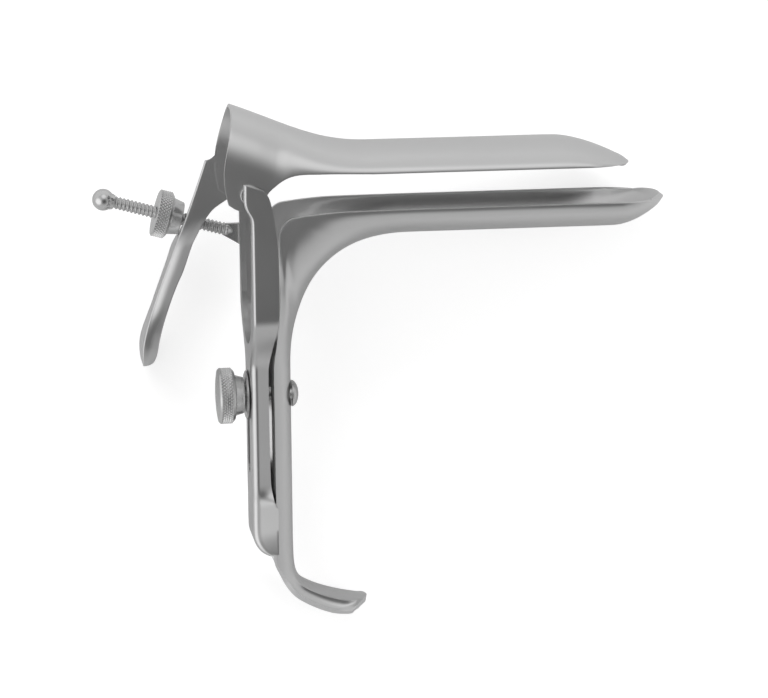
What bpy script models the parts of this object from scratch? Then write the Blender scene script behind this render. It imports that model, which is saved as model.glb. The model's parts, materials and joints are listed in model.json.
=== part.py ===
"""Two-bladed examination speculum in stainless steel, modelled in metres.

The pieces are modelled in the instrument's own frame: X runs from the mouth to the blade
tips, Z runs up along the handle, and +Y is the side that carries the thumb lever and its
adjusting rod. At the end the whole instrument is laid down on its lever side, as it comes
to rest on a table.
"""
import math

import bmesh
import bpy
from mathutils import Matrix, Quaternion, Vector
from mathutils.geometry import interpolate_bezier

MM = 0.001

# Clearances
SEAT_GAP = 0.3 * MM
PIN_GAP = 0.08 * MM

# Sheet thicknesses
LOWER_SHEET = 1.55 * MM
UPPER_SHEET = 1.0 * MM
YOKE_SHEET = 1.5 * MM

# Hinge between yoke and upper blade
HINGE_X = 2.9 * MM
HINGE_Z = 0.0
HINGE_PIN_R = 1.15 * MM
HINGE_HEAD_R = 1.9 * MM
HINGE_HEAD_T = 0.8 * MM
HINGE_WASHER_R = 2.5 * MM
HINGE_WASHER_T = 1.2 * MM
WASHER_GAP = 0.15 * MM

# Lower blade, its neck, handle and foot
LOWER_TIP_X = 116.6 * MM
LOWER_TIP_LENGTH = 14.5 * MM
BLADE_HALF_WIDTH = 15.0 * MM
LOWER_RIM_Z = -5.1 * MM
TROUGH_DEPTH = 7.9 * MM
NECK_START_X = 46.0 * MM
NECK_EDGE_X = 10.5 * MM
NECK_END_Z = -48.0 * MM
THROAT_RADIUS = 5.0 * MM
HANDLE_BACK_X = 14.5 * MM
HANDLE_DEPTH = 5.1 * MM
HANDLE_HALF_WIDTH = 6.5 * MM
HANDLE_END_Z = -97.0 * MM
HANDLE_POWER = 3.4
FOOT_END_ROUND = 3.4 * MM

# Upper blade
UPPER_TIP_X = 106.8 * MM
UPPER_TIP_LENGTH = 13.0 * MM
UPPER_RIM_Z = 4.6 * MM
ARCH_HEIGHT = 7.1 * MM
UPPER_FALL_LENGTH = 19.8 * MM
UPPER_NECK_END_X = 36.0 * MM
MOUTH_TOP_X = -0.5 * MM
MOUTH_TOP_Z = 22.2 * MM
EAR_FRONT_X = -2.6 * MM
EAR_BOTTOM_Z = -4.3 * MM
EAR_HEEL_X = 5.1 * MM
MOUTH_BULGE = 1.7 * MM

# Thumb lever, formed from the upper blade's ear on the +Y side
LEVER_TOP_X = -6.2 * MM
LEVER_TOP_Z = 5.8 * MM
LEVER_END_X = -25.2 * MM
LEVER_END_Z = -50.6 * MM
LEVER_FLANGE = 4.8 * MM
LEVER_ROOT_WIDTH = 9.6 * MM
LEVER_WAIST_WIDTH = 7.0 * MM
LEVER_PAD_WIDTH = 14.5 * MM
LEVER_CORNER_R = 0.6 * MM
LEVER_INNER_CORNER_R = 0.1 * MM
LEVER_WEB_LEAN = 0.13
SLOT_HALF_LENGTH = 5.4 * MM
SLOT_HALF_WIDTH = 2.1 * MM

# Yoke frame
YOKE_FRONT_X = 3.0 * MM
YOKE_ARM_HALF_WIDTH = 17.0 * MM
YOKE_HALF_WIDTH = 7.4 * MM
YOKE_LIP = 2.6 * MM
YOKE_LIP_TOP_Z = -7.0 * MM
YOKE_TAB_BOTTOM_Z = -4.2 * MM
YOKE_MOUTH_TAPER = 0.8 * MM
YOKE_BOWL_NARROWER = 2.4 * MM
YOKE_BOWL_TOP = 20.0 * MM
CUT_PAST = 6.0 * MM
YOKE_OPENING_PAST_ARM = 0.1 * MM
YOKE_CORNER_R = 0.8 * MM
YOKE_INNER_CORNER_R = 0.15 * MM
YOKE_TOP_Z = 3.0 * MM
YOKE_MOUTH_BOTTOM_Z = -42.0 * MM
YOKE_SHOULDER_TOP_Z = -33.5 * MM
YOKE_SHOULDER_END_Z = -47.5 * MM
YOKE_STEP_Z = -85.5 * MM
SHOE_BOTTOM_Z = -103.4 * MM
SHOE_REAR_X = 10.3 * MM
CLAMP_SLOT_TOP_Z = -49.3 * MM
CLAMP_SLOT_BOTTOM_Z = -77.7 * MM
CLAMP_SLOT_HALF_WIDTH = 2.35 * MM

# Clamp stud, washer and knob
STUD_Z = -56.3 * MM
STUD_R = 2.0 * MM
STUD_HEAD_R = 3.6 * MM
STUD_HEAD_H = 1.9 * MM
CLAMP_WASHER_R = 6.6 * MM
CLAMP_WASHER_T = 0.6 * MM
KNOB_R = 7.55 * MM
KNOB_WIDTH = 4.3 * MM
KNOB_COLLAR_R = 5.5 * MM
KNOB_COLLAR_END_R = 4.9 * MM
KNOB_COLLAR_LENGTH = 2.6 * MM
KNOB_DOME = 0.7 * MM

# Adjusting rod, its ball end and the nut that runs on it
ROD_EYE_X = 6.2 * MM
ROD_EYE_Z = -15.9 * MM
ROD_TILT_DEG = 15.5
ROD_R = 1.75 * MM
BALL_FROM_EYE = 41.1 * MM
ROD_EYE_R = 3.6 * MM
ROD_EYE_T = 1.8 * MM
ROD_FLARE_LENGTH = 7.4 * MM
ROD_RIVET_R = 1.2 * MM
ROD_RIVET_HEAD_R = 2.3 * MM
ROD_RIVET_HEAD_H = 1.1 * MM
BALL_R = 2.95 * MM
NUT_R = 6.45 * MM
NUT_WIDTH = 4.1 * MM
NUT_COLLAR_R = 5.0 * MM
NUT_COLLAR_END_R = 4.45 * MM
NUT_COLLAR_LENGTH = 3.1 * MM
NUT_CLEARANCE = 0.08 * MM
NUT_FACE_FROM_EYE = 19.5 * MM

# Mesh density
ROUND = 32
SHEET_COLUMNS = 22

COLLECTION = "vaginal_speculum"


def clear_scene():
    """Remove every object that the file already holds."""
    for ob in list(bpy.data.objects):
        bpy.data.objects.remove(ob, do_unlink=True)


def new_collection(name):
    """A collection linked under the scene."""
    col = bpy.data.collections.new(name)
    bpy.context.scene.collection.children.link(col)
    return col


def steel(name, tint, roughness):
    """Stainless steel with its own tint and polish."""
    mat = bpy.data.materials.new(name)
    mat.use_nodes = True
    shader = mat.node_tree.nodes["Principled BSDF"]
    shader.inputs["Base Color"].default_value = (*tint, 1.0)
    shader.inputs["Metallic"].default_value = 1.0
    shader.inputs["Roughness"].default_value = roughness
    return mat


def empty(name, location, parent, rotation_y=0.0):
    """A named frame that pieces are parented to."""
    ob = bpy.data.objects.new(name, None)
    PARTS.objects.link(ob)
    ob.parent = parent
    ob.location = location
    ob.rotation_euler = (0.0, rotation_y, 0.0)
    return ob


def place(ob, parent, location=(0.0, 0.0, 0.0), cutter=False):
    """Link an object under its parent, as a part or as a cutter."""
    (CUTTERS if cutter else PARTS).objects.link(ob)
    ob.parent = parent
    ob.location = location
    if cutter:
        ob.hide_render = True
        ob.display_type = "WIRE"
    return ob


def finish(ob, material, sharp_deg=35.0):
    """Give a part its material and smooth shading with sharp edges kept."""
    ob.data.materials.clear()
    ob.data.materials.append(material)
    ob.data.shade_smooth()
    ob.data.set_sharp_from_angle(angle=math.radians(sharp_deg))
    return ob


def smooth(t):
    """Ease from 0 to 1, with a flat start and end."""
    t = min(max(t, 0.0), 1.0)
    return t * t * (3.0 - 2.0 * t)


def mix(a, b, t):
    return a + (b - a) * t


def bezier(p0, p1, p2, p3, count):
    """Count points on a Bezier curve in the XZ plane."""
    return [Vector((v.x, 0.0, v.z)) for v in interpolate_bezier(
        Vector((p0[0], 0.0, p0[1])), Vector((p1[0], 0.0, p1[1])),
        Vector((p2[0], 0.0, p2[1])), Vector((p3[0], 0.0, p3[1])), count)]


def resample(points, count):
    """Count points at equal steps along a polyline."""
    lengths = [0.0]
    for a, b in zip(points, points[1:]):
        lengths.append(lengths[-1] + (b - a).length)
    out = []
    k = 0
    for i in range(count):
        s = lengths[-1] * i / (count - 1)
        while k < len(points) - 2 and lengths[k + 1] < s:
            k += 1
        span = lengths[k + 1] - lengths[k]
        out.append(points[k].lerp(points[k + 1], (s - lengths[k]) / span))
    return out


def smooth_line(points, count):
    """Count points along a smooth line through the given XZ points."""
    pts = [Vector((x, 0.0, z)) for x, z in points]
    dense = []
    for i in range(len(pts) - 1):
        before = pts[max(i - 1, 0)]
        after = pts[min(i + 2, len(pts) - 1)]
        step = (pts[i + 1] - pts[i]).length
        in_slope = (pts[i + 1] - before).normalized() * step / 3.0
        out_slope = (after - pts[i]).normalized() * step / 3.0
        piece = interpolate_bezier(pts[i], pts[i] + in_slope, pts[i + 1] - out_slope, pts[i + 1], 12)
        dense += piece if not dense else piece[1:]
    return resample([Vector(p) for p in dense], count)


def trough_profile(half_width, depth, power, columns):
    """Cross-section of a trough as (across, down) pairs, from the -Y rim to the +Y rim.

    down is 0 at the crown or floor line and 1 at the rims. The curve is a superellipse
    with straight sides below it when it is deeper than it is wide.
    """
    arc = min(depth, half_width)
    quarter = []
    for i in range(41):
        a = 0.5 * math.pi * i / 40
        across = half_width * math.sin(a) ** (2.0 / power)
        down = arc * (1.0 - math.cos(a) ** (2.0 / power))
        quarter.append(Vector((across, down, 0.0)))
    if depth > arc:
        quarter.append(Vector((half_width, depth, 0.0)))
    half = resample(quarter, columns // 2 + 1)
    near = [(-p.x, p.y / depth) for p in reversed(half)]
    far = [(p.x, p.y / depth) for p in half[1:]]
    return near + far


def sheet_object(name, rows, thickness, flip=False):
    """A sheet through a grid of skin points, thickened away from its outer side."""
    bm = bmesh.new()
    grid = [[bm.verts.new(p) for p in row] for row in rows]
    for a, b in zip(grid, grid[1:]):
        for i in range(len(a) - 1):
            corners = (a[i], a[i + 1], b[i + 1], b[i])
            bm.faces.new(reversed(corners) if flip else corners)
    mesh = bpy.data.meshes.new(name)
    bm.to_mesh(mesh)
    bm.free()
    ob = bpy.data.objects.new(name, mesh)
    solid = ob.modifiers.new("thickness", "SOLIDIFY")
    solid.thickness = thickness
    solid.offset = -1.0
    solid.use_even_offset = True
    return ob


def shell_object(name, outer, inner):
    """A closed sheet from two grids of points, its outer and its inner skin."""
    bm = bmesh.new()
    a = [[bm.verts.new(p) for p in row] for row in outer]
    b = [[bm.verts.new(p) for p in row] for row in inner]
    last, edge = len(a) - 1, len(a[0]) - 1
    for k in range(last):
        for i in range(edge):
            bm.faces.new((a[k][i], a[k][i + 1], a[k + 1][i + 1], a[k + 1][i]))
            bm.faces.new((b[k + 1][i], b[k + 1][i + 1], b[k][i + 1], b[k][i]))
        for i in (0, edge):
            bm.faces.new((a[k][i], a[k + 1][i], b[k + 1][i], b[k][i]))
    for k in (0, last):
        for i in range(edge):
            bm.faces.new((a[k][i], a[k][i + 1], b[k][i + 1], b[k][i]))
    bmesh.ops.recalc_face_normals(bm, faces=bm.faces)
    mesh = bpy.data.meshes.new(name)
    bm.to_mesh(mesh)
    bm.free()
    return bpy.data.objects.new(name, mesh)


def turned_object(name, profile, steps=ROUND):
    """A body turned about its local X axis; profile is (along, radius), outline order."""
    mesh = bpy.data.meshes.new(name)
    points = [(radius, 0.0, along) for along, radius in profile]
    mesh.from_pydata(points, [(i, i + 1) for i in range(len(points) - 1)], [])
    ob = bpy.data.objects.new(name, mesh)
    screw = ob.modifiers.new("turn", "SCREW")
    screw.axis = "Z"
    screw.steps = steps
    screw.render_steps = steps
    screw.use_merge_vertices = True
    screw.merge_threshold = 0.00001
    screw.use_normal_calculate = True
    return ob


def baked(ob):
    """Replace an object's mesh by its evaluated mesh and drop the modifiers."""
    scratch = bpy.context.scene.collection
    scratch.objects.link(ob)
    bpy.context.view_layer.update()
    evaluated = ob.evaluated_get(bpy.context.evaluated_depsgraph_get())
    mesh = bpy.data.meshes.new_from_object(evaluated)
    ob.modifiers.clear()
    ob.data = mesh
    scratch.objects.unlink(ob)
    return ob


def outward(ob):
    """Weld a baked mesh and turn all of its faces outward."""
    bm = bmesh.new()
    bm.from_mesh(ob.data)
    bmesh.ops.remove_doubles(bm, verts=bm.verts, dist=0.000002)
    bmesh.ops.recalc_face_normals(bm, faces=bm.faces)
    bm.to_mesh(ob.data)
    bm.free()
    return ob


def turn_axis_to(ob, axis):
    """Turn a baked mesh's local Z axis onto another axis."""
    ob.data.transform(Vector((0.0, 0.0, 1.0)).rotation_difference(Vector(axis)).to_matrix().to_4x4())
    return ob


def round_bar(name, radius, start, end, axis, steps=ROUND, chamfer=0.0):
    """A plain bar along an axis, from start to end, with chamfered ends."""
    profile = [(end, 0.0), (end, radius - chamfer)]
    if chamfer > 0.0:
        profile.append((end - chamfer, radius))
        profile.append((start + chamfer, radius))
    profile += [(start, radius - chamfer), (start, 0.0)]
    return turn_axis_to(outward(baked(turned_object(name, profile, steps))), axis)


def plate(name, outline, low, high, normal_axis="Y"):
    """A flat plate from an outline of (x, z) or (y, z) points, extruded from low to high."""
    bm = bmesh.new()
    if normal_axis == "Y":
        verts = [bm.verts.new((a, low, b)) for a, b in outline]
        push = Vector((0.0, high - low, 0.0))
    else:
        verts = [bm.verts.new((low, a, b)) for a, b in outline]
        push = Vector((high - low, 0.0, 0.0))
    face = bm.faces.new(verts)
    moved = bmesh.ops.extrude_face_region(bm, geom=[face])["geom"]
    bmesh.ops.translate(bm, vec=push, verts=[g for g in moved if isinstance(g, bmesh.types.BMVert)])
    bmesh.ops.recalc_face_normals(bm, faces=bm.faces)
    mesh = bpy.data.meshes.new(name)
    bm.to_mesh(mesh)
    bm.free()
    return bpy.data.objects.new(name, mesh)


def arc_points(cx, cz, radius, start_deg, end_deg, count):
    """Points on an arc, degrees measured from the first axis to the second."""
    out = []
    for i in range(count):
        a = math.radians(mix(start_deg, end_deg, i / (count - 1)))
        out.append((cx + radius * math.cos(a), cz + radius * math.sin(a)))
    return out


def slot_outline(centre, direction, half_length, half_width, count=8):
    """Outline of a slot with round ends; centre and direction are pairs."""
    angle = math.degrees(math.atan2(direction[1], direction[0]))
    reach = half_length - half_width
    ahead = (centre[0] + direction[0] * reach, centre[1] + direction[1] * reach)
    behind = (centre[0] - direction[0] * reach, centre[1] - direction[1] * reach)
    return (arc_points(*ahead, half_width, angle - 90.0, angle + 90.0, count)
            + arc_points(*behind, half_width, angle + 90.0, angle + 270.0, count))


def combine(ob, other, operation):
    """Boolean of a part with a helper solid."""
    mod = ob.modifiers.new(operation.lower() + "_" + other.name, "BOOLEAN")
    mod.operation = operation
    mod.object = other
    mod.solver = "MANIFOLD"


def spoon_tip(tip_x, tip_length, rim_z, depth, power, sign, crown_at, rows):
    """Rows of the rounded end of a blade. sign is -1 for a trough and +1 for an arch."""
    start = tip_x - tip_length
    profile = trough_profile(BLADE_HALF_WIDTH, depth, power, SHEET_COLUMNS)
    out = []
    for k in range(1, rows + 1):
        tau = k / rows
        narrow = math.cos(0.25 * math.pi * tau)
        row = []
        for across, down in profile:
            y = across * narrow
            side = abs(across) / BLADE_HALF_WIDTH
            reach = math.sqrt(max(0.0, 1.0 - (y / BLADE_HALF_WIDTH) ** 2))
            reach *= mix(tau, 1.0, side ** mix(8.0, 2.0, tau))
            half_width = BLADE_HALF_WIDTH * math.sqrt(max(1e-6, 1.0 - reach ** 2))
            x = start + tip_length * reach
            rise = depth * crown_at(x) * max(0.0, 1.0 - (abs(y) / half_width) ** power) ** (1.0 / power)
            if k == rows:
                rise = 0.0
            row.append(Vector((x, y, rim_z + sign * rise)))
        out.append(row)
    return out


def ear_half_width():
    """Outside of the ears: inside the yoke's arms by the washer and its gaps."""
    return YOKE_ARM_HALF_WIDTH - YOKE_SHEET - HINGE_WASHER_T - 2.0 * WASHER_GAP


def flattened(row, half_width, share):
    """A section moved part of the way to a shallow curve with sides that lean out."""
    middle = len(row) // 2
    spine = row[middle]
    rim = 0.5 * (row[0] + row[-1])
    rim.y = 0.0
    out = []
    for i, p in enumerate(row):
        s = (i - middle) / middle
        flat = spine.lerp(rim, s * s)
        flat.y = half_width * s
        out.append(p.lerp(flat, share))
    return out


def ruled_row(spine, rim, half_width, power, bulge=0.0, bulge_skew=1.6):
    """One cross-section drawn between a spine point and the two rim points."""
    depth = (rim - spine).length
    row = []
    for across, down in trough_profile(half_width, depth, power, SHEET_COLUMNS):
        p = spine.lerp(rim, down)
        p.x -= bulge * math.sin(math.pi * down ** bulge_skew)
        p.y = across
        row.append(p)
    return row


def lower_blade_rows():
    """Skin of the lower blade, neck, handle and foot, from the foot to the blade tip."""
    floor_z = LOWER_RIM_Z - TROUGH_DEPTH
    edge_x = HANDLE_BACK_X - HANDLE_DEPTH
    rows = []

    foot_rows = 17
    back = [(0.0, 0.0), (0.2, -6.0), (0.8, -9.0), (2.1, -11.0), (5.0, -12.7), (8.9, -14.2),
            (14.2, -15.7), (20.2, -16.9)]
    free = [(0.0, 0.0), (0.1, -5.0), (2.0, -8.8), (4.1, -11.9), (6.2, -14.2), (10.3, -16.8), (14.5, -18.6),
            (18.6, -19.5), (21.6, -19.2), (25.0, -17.3)]
    back = smooth_line([(HANDLE_BACK_X + x * MM, HANDLE_END_Z + z * MM) for x, z in back], foot_rows)
    free = smooth_line([(edge_x + x * MM, HANDLE_END_Z + z * MM) for x, z in free], foot_rows)
    for k in range(foot_rows - 1, -1, -1):
        t = k / (foot_rows - 1)
        width = HANDLE_HALF_WIDTH * (1.0 - 0.12 * smooth((t - 0.8) / 0.2))
        row = flattened(ruled_row(back[k], free[k], width, HANDLE_POWER), width, smooth((t - 0.62) / 0.3))
        for p in row:
            p.x -= FOOT_END_ROUND * (abs(p.y) / width) ** 2.5 * smooth((t - 0.7) / 0.3)
        rows.append(row)
    for z in (mix(HANDLE_END_Z, NECK_END_Z, 0.33), mix(HANDLE_END_Z, NECK_END_Z, 0.67)):
        rows.append(ruled_row(Vector((HANDLE_BACK_X, 0.0, z)), Vector((edge_x, 0.0, z)),
                              HANDLE_HALF_WIDTH, HANDLE_POWER))

    neck_rows = 21
    spine_line = bezier((HANDLE_BACK_X, NECK_END_Z), (HANDLE_BACK_X, NECK_END_Z + 23.0 * MM),
                        (NECK_START_X - 20.0 * MM, floor_z), (NECK_START_X, floor_z), 41)
    spine_line = resample(spine_line, neck_rows)
    corner = (NECK_EDGE_X + THROAT_RADIUS, LOWER_RIM_Z - THROAT_RADIUS - 1.2 * MM)
    turn = arc_points(*corner, THROAT_RADIUS, 180.0, 94.0, 9)
    upright = [(edge_x, NECK_END_Z), (edge_x + 0.5 * MM, NECK_END_Z + 5.0 * MM),
               (NECK_EDGE_X, NECK_END_Z + 12.0 * MM), turn[0]]
    level = [turn[-1], (NECK_EDGE_X + 14.0 * MM, LOWER_RIM_Z - 0.25 * MM), (NECK_START_X, LOWER_RIM_Z)]
    edge_line = (smooth_line(upright, 7)[:-1] + [Vector((x, 0.0, z)) for x, z in turn]
                 + smooth_line(level, 7)[1:])
    for k in range(neck_rows):
        t = k / (neck_rows - 1)
        width = mix(HANDLE_HALF_WIDTH, BLADE_HALF_WIDTH, smooth(t / 0.62))
        power = mix(HANDLE_POWER, 2.3, smooth(t / 0.55))
        rows.append(ruled_row(spine_line[k], edge_line[k], width, power))

    tip_start = LOWER_TIP_X - LOWER_TIP_LENGTH
    straight = 4
    for k in range(1, straight + 1):
        x = mix(NECK_START_X, tip_start, k / straight)
        rows.append(ruled_row(Vector((x, 0.0, floor_z)), Vector((x, 0.0, LOWER_RIM_Z)),
                              BLADE_HALF_WIDTH, 2.3))

    def floor_rise(x):
        t = (x - tip_start) / LOWER_TIP_LENGTH
        return 1.0 - 0.92 * t ** 1.8

    rows += spoon_tip(LOWER_TIP_X, LOWER_TIP_LENGTH, LOWER_RIM_Z, TROUGH_DEPTH, 2.3, -1.0, floor_rise, 8)
    return rows


def make_lower_blade(root):
    """Lower blade with its neck, channel handle and turned-up foot, one pressing."""
    ob = sheet_object("lower_blade", lower_blade_rows(), LOWER_SHEET)
    place(ob, root)
    bore = round_bar("cut_stud_bore", STUD_R + PIN_GAP, HANDLE_BACK_X - 3.0 * MM,
                     HANDLE_BACK_X + 2.0 * MM, (1, 0, 0))
    place(bore, root, (0.0, 0.0, STUD_Z), cutter=True)
    combine(ob, bore, "DIFFERENCE")
    return finish(ob, steel("steel_lower_blade", (0.63, 0.63, 0.64), 0.34))


def crown_fall(x):
    """Share of the arch height left at x, as the upper blade falls to its tip."""
    t = (x - UPPER_TIP_X) / UPPER_FALL_LENGTH + 1.0
    return 1.0 - 0.95 * max(t, 0.0) ** 1.6


def upper_blade_rows():
    """Skin of the upper blade from its mouth and ears to its tip."""
    crown_z = UPPER_RIM_Z + ARCH_HEIGHT
    neck_rows = 20
    crown = bezier((MOUTH_TOP_X, MOUTH_TOP_Z), (MOUTH_TOP_X + 14.5 * MM, MOUTH_TOP_Z - 5.2 * MM),
                   (UPPER_NECK_END_X - 14.0 * MM, crown_z), (UPPER_NECK_END_X, crown_z), 41)
    crown = resample(crown, neck_rows)
    edge = smooth_line([(EAR_FRONT_X, EAR_BOTTOM_Z + 1.7 * MM),
                        (EAR_FRONT_X + 3.2 * MM, EAR_BOTTOM_Z),
                        (EAR_HEEL_X, EAR_BOTTOM_Z + 0.7 * MM),
                        (EAR_HEEL_X + 2.9 * MM, HINGE_Z + 0.5 * MM),
                        (EAR_HEEL_X + 8.4 * MM, UPPER_RIM_Z - 0.3 * MM),
                        (EAR_HEEL_X + 16.0 * MM, UPPER_RIM_Z + 0.3 * MM),
                        (UPPER_NECK_END_X, UPPER_RIM_Z)], neck_rows)
    rows = []
    for k in range(neck_rows):
        t = k / (neck_rows - 1)
        width = mix(ear_half_width(), BLADE_HALF_WIDTH, smooth((t - 0.3) / 0.5))
        bulge = MOUTH_BULGE * (1.0 - t) ** 3
        rows.append(ruled_row(crown[k], edge[k], width, 2.15, bulge))
    tip_start = UPPER_TIP_X - UPPER_TIP_LENGTH
    fall_start = min(UPPER_TIP_X - UPPER_FALL_LENGTH, tip_start - 2.0 * MM)
    for x in (mix(UPPER_NECK_END_X, fall_start, 0.33), mix(UPPER_NECK_END_X, fall_start, 0.67), fall_start,
              mix(fall_start, tip_start, 0.5), tip_start):
        crown_x = UPPER_RIM_Z + ARCH_HEIGHT * crown_fall(x)
        rows.append(ruled_row(Vector((x, 0.0, crown_x)), Vector((x, 0.0, UPPER_RIM_Z)),
                              BLADE_HALF_WIDTH, 2.15))
    rows += spoon_tip(UPPER_TIP_X, UPPER_TIP_LENGTH, UPPER_RIM_Z, ARCH_HEIGHT, 2.15, 1.0, crown_fall, 8)
    return rows


def lever_point(t):
    """Point of the lever's outer face at t, from its top corner to its lower end."""
    bow = 0.5 * MM * math.sin(math.pi * t)
    return Vector((mix(LEVER_TOP_X, LEVER_END_X, t) - bow, 0.0, mix(LEVER_TOP_Z, LEVER_END_Z, t)))


def lever_width(t):
    """Width of the lever's web at t: root, waist, then the thumb pad."""
    waist = mix(LEVER_ROOT_WIDTH, LEVER_WAIST_WIDTH, smooth((t - 0.38) / 0.16))
    return mix(waist, LEVER_PAD_WIDTH, smooth((t - 0.56) / 0.34))


def lever_rows(inset):
    """Skin of the lever: a flange in the ear's plane and a web folded away from it.

    inset is 0 for the outer skin and the sheet's thickness for the inner one.
    """
    flange_y = ear_half_width() - UPPER_SHEET + 0.03 * MM
    free_edge = smooth_line([(2.2 * MM, 6.0 * MM), (2.0 * MM, -2.6 * MM),
                             (-0.8 * MM, -5.4 * MM), (-3.2 * MM, -6.8 * MM), (-5.6 * MM, -9.3 * MM),
                             (-7.6 * MM, -12.4 * MM), (-10.1 * MM, -17.0 * MM)], 11)
    stations = [0.0, 0.05, 0.10, 0.15, 0.19, 0.23, 0.27, 0.31, 0.35, 0.39, 0.43,
                0.50, 0.57, 0.64, 0.71, 0.78, 0.85, 0.90, 0.94, 0.97, 0.99, 1.0]
    corner = LEVER_INNER_CORNER_R if inset else LEVER_CORNER_R
    rows = []
    for k, t in enumerate(stations):
        outer_web = lever_point(t)
        along = (lever_point(min(t + 0.01, 1.0)) - lever_point(max(t - 0.01, 0.0))).normalized()
        across = Vector((-along.z, 0.0, along.x))
        web = outer_web + across * inset
        end = max(0.0, (t - 0.85) / 0.15)
        round_off = 1.0 - math.sqrt(max(0.0, 1.0 - end ** 2.4))
        if k < len(free_edge):
            edge = free_edge[k]
        else:
            edge = outer_web + across * LEVER_FLANGE * (1.0 - 0.55 * round_off)
        width = lever_width(t) * (1.0 - 0.30 * round_off)
        near_y = flange_y + lever_width(t) * 0.12 * round_off
        far_y = near_y + width
        near_y += inset
        fillet = 2.6 * MM if k == 0 else 0.0
        top_fall = 0.24 * (1.0 - smooth(t / 0.12))
        toward = (edge - web).normalized()
        row = []
        for s in (1.0, 0.75, 0.5, 0.3):
            y = mix(near_y + corner, far_y, s)
            deep = y - near_y
            row.append(web + across * LEVER_WEB_LEAN * deep + along * top_fall * deep)
            row[-1].y = y
        for deg in (0.0, 22.5, 45.0, 67.5, 90.0):
            a = math.radians(deg)
            deep = corner * (1.0 - math.sin(a))
            p = web + toward * corner * (1.0 - math.cos(a)) + across * LEVER_WEB_LEAN * deep
            p.y = near_y + deep
            row.append(p)
        for s in (0.15, 0.32, 0.55, 1.0):
            p = (web + toward * corner).lerp(edge, s)
            p.y = near_y
            p.z += fillet * smooth(s / 0.55)
            row.append(p)
        rows.append(row)
    return rows


def slot_centre_on_lever():
    """Where the adjusting rod's axis crosses the lever's web, in the XZ plane."""
    tilt = math.radians(ROD_TILT_DEG)
    for i in range(401):
        p = lever_point(i / 400)
        on_rod = ROD_EYE_Z + (ROD_EYE_X - p.x) * math.tan(tilt)
        if p.z <= on_rod:
            return p
    return lever_point(0.3)


def rod_plane_y():
    """The rod swings in the plane of its flattened eye, just outside the yoke's arm."""
    return YOKE_ARM_HALF_WIDTH + SEAT_GAP + 0.5 * ROD_EYE_T


def make_upper_blade(hinge):
    """Upper blade with its ears and thumb lever, one pressing."""
    shift = Vector((-HINGE_X, 0.0, -HINGE_Z))
    rows = [[p + shift for p in row] for row in upper_blade_rows()]
    ob = place(sheet_object("upper_blade", rows, UPPER_SHEET, flip=True), hinge)
    skins = [[[p + shift for p in row] for row in lever_rows(inset)] for inset in (0.0, UPPER_SHEET)]
    lever = shell_object("join_lever", *skins)
    place(lever, hinge, cutter=True)
    combine(ob, lever, "UNION")
    for side in (-1.0, 1.0):
        low = side * ear_half_width() - 3.0 * MM
        bore = round_bar("cut_ear_bore", HINGE_PIN_R + PIN_GAP, low, low + 6.0 * MM, (0, 1, 0), 24)
        place(bore, hinge, cutter=True)
        combine(ob, bore, "DIFFERENCE")
    centre = slot_centre_on_lever() + shift
    tilt = math.radians(ROD_TILT_DEG)
    outline = slot_outline((0.0, 0.0), (0.0, 1.0), SLOT_HALF_LENGTH, SLOT_HALF_WIDTH)
    cutter = plate("cut_lever_slot", outline, -5.0 * MM, 5.0 * MM, "X")
    cutter.rotation_euler = (0.0, tilt, 0.0)
    place(cutter, hinge, (centre.x, rod_plane_y(), centre.z), cutter=True)
    combine(ob, cutter, "DIFFERENCE")
    return finish(ob, steel("steel_upper_blade", (0.63, 0.63, 0.64), 0.34))


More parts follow.
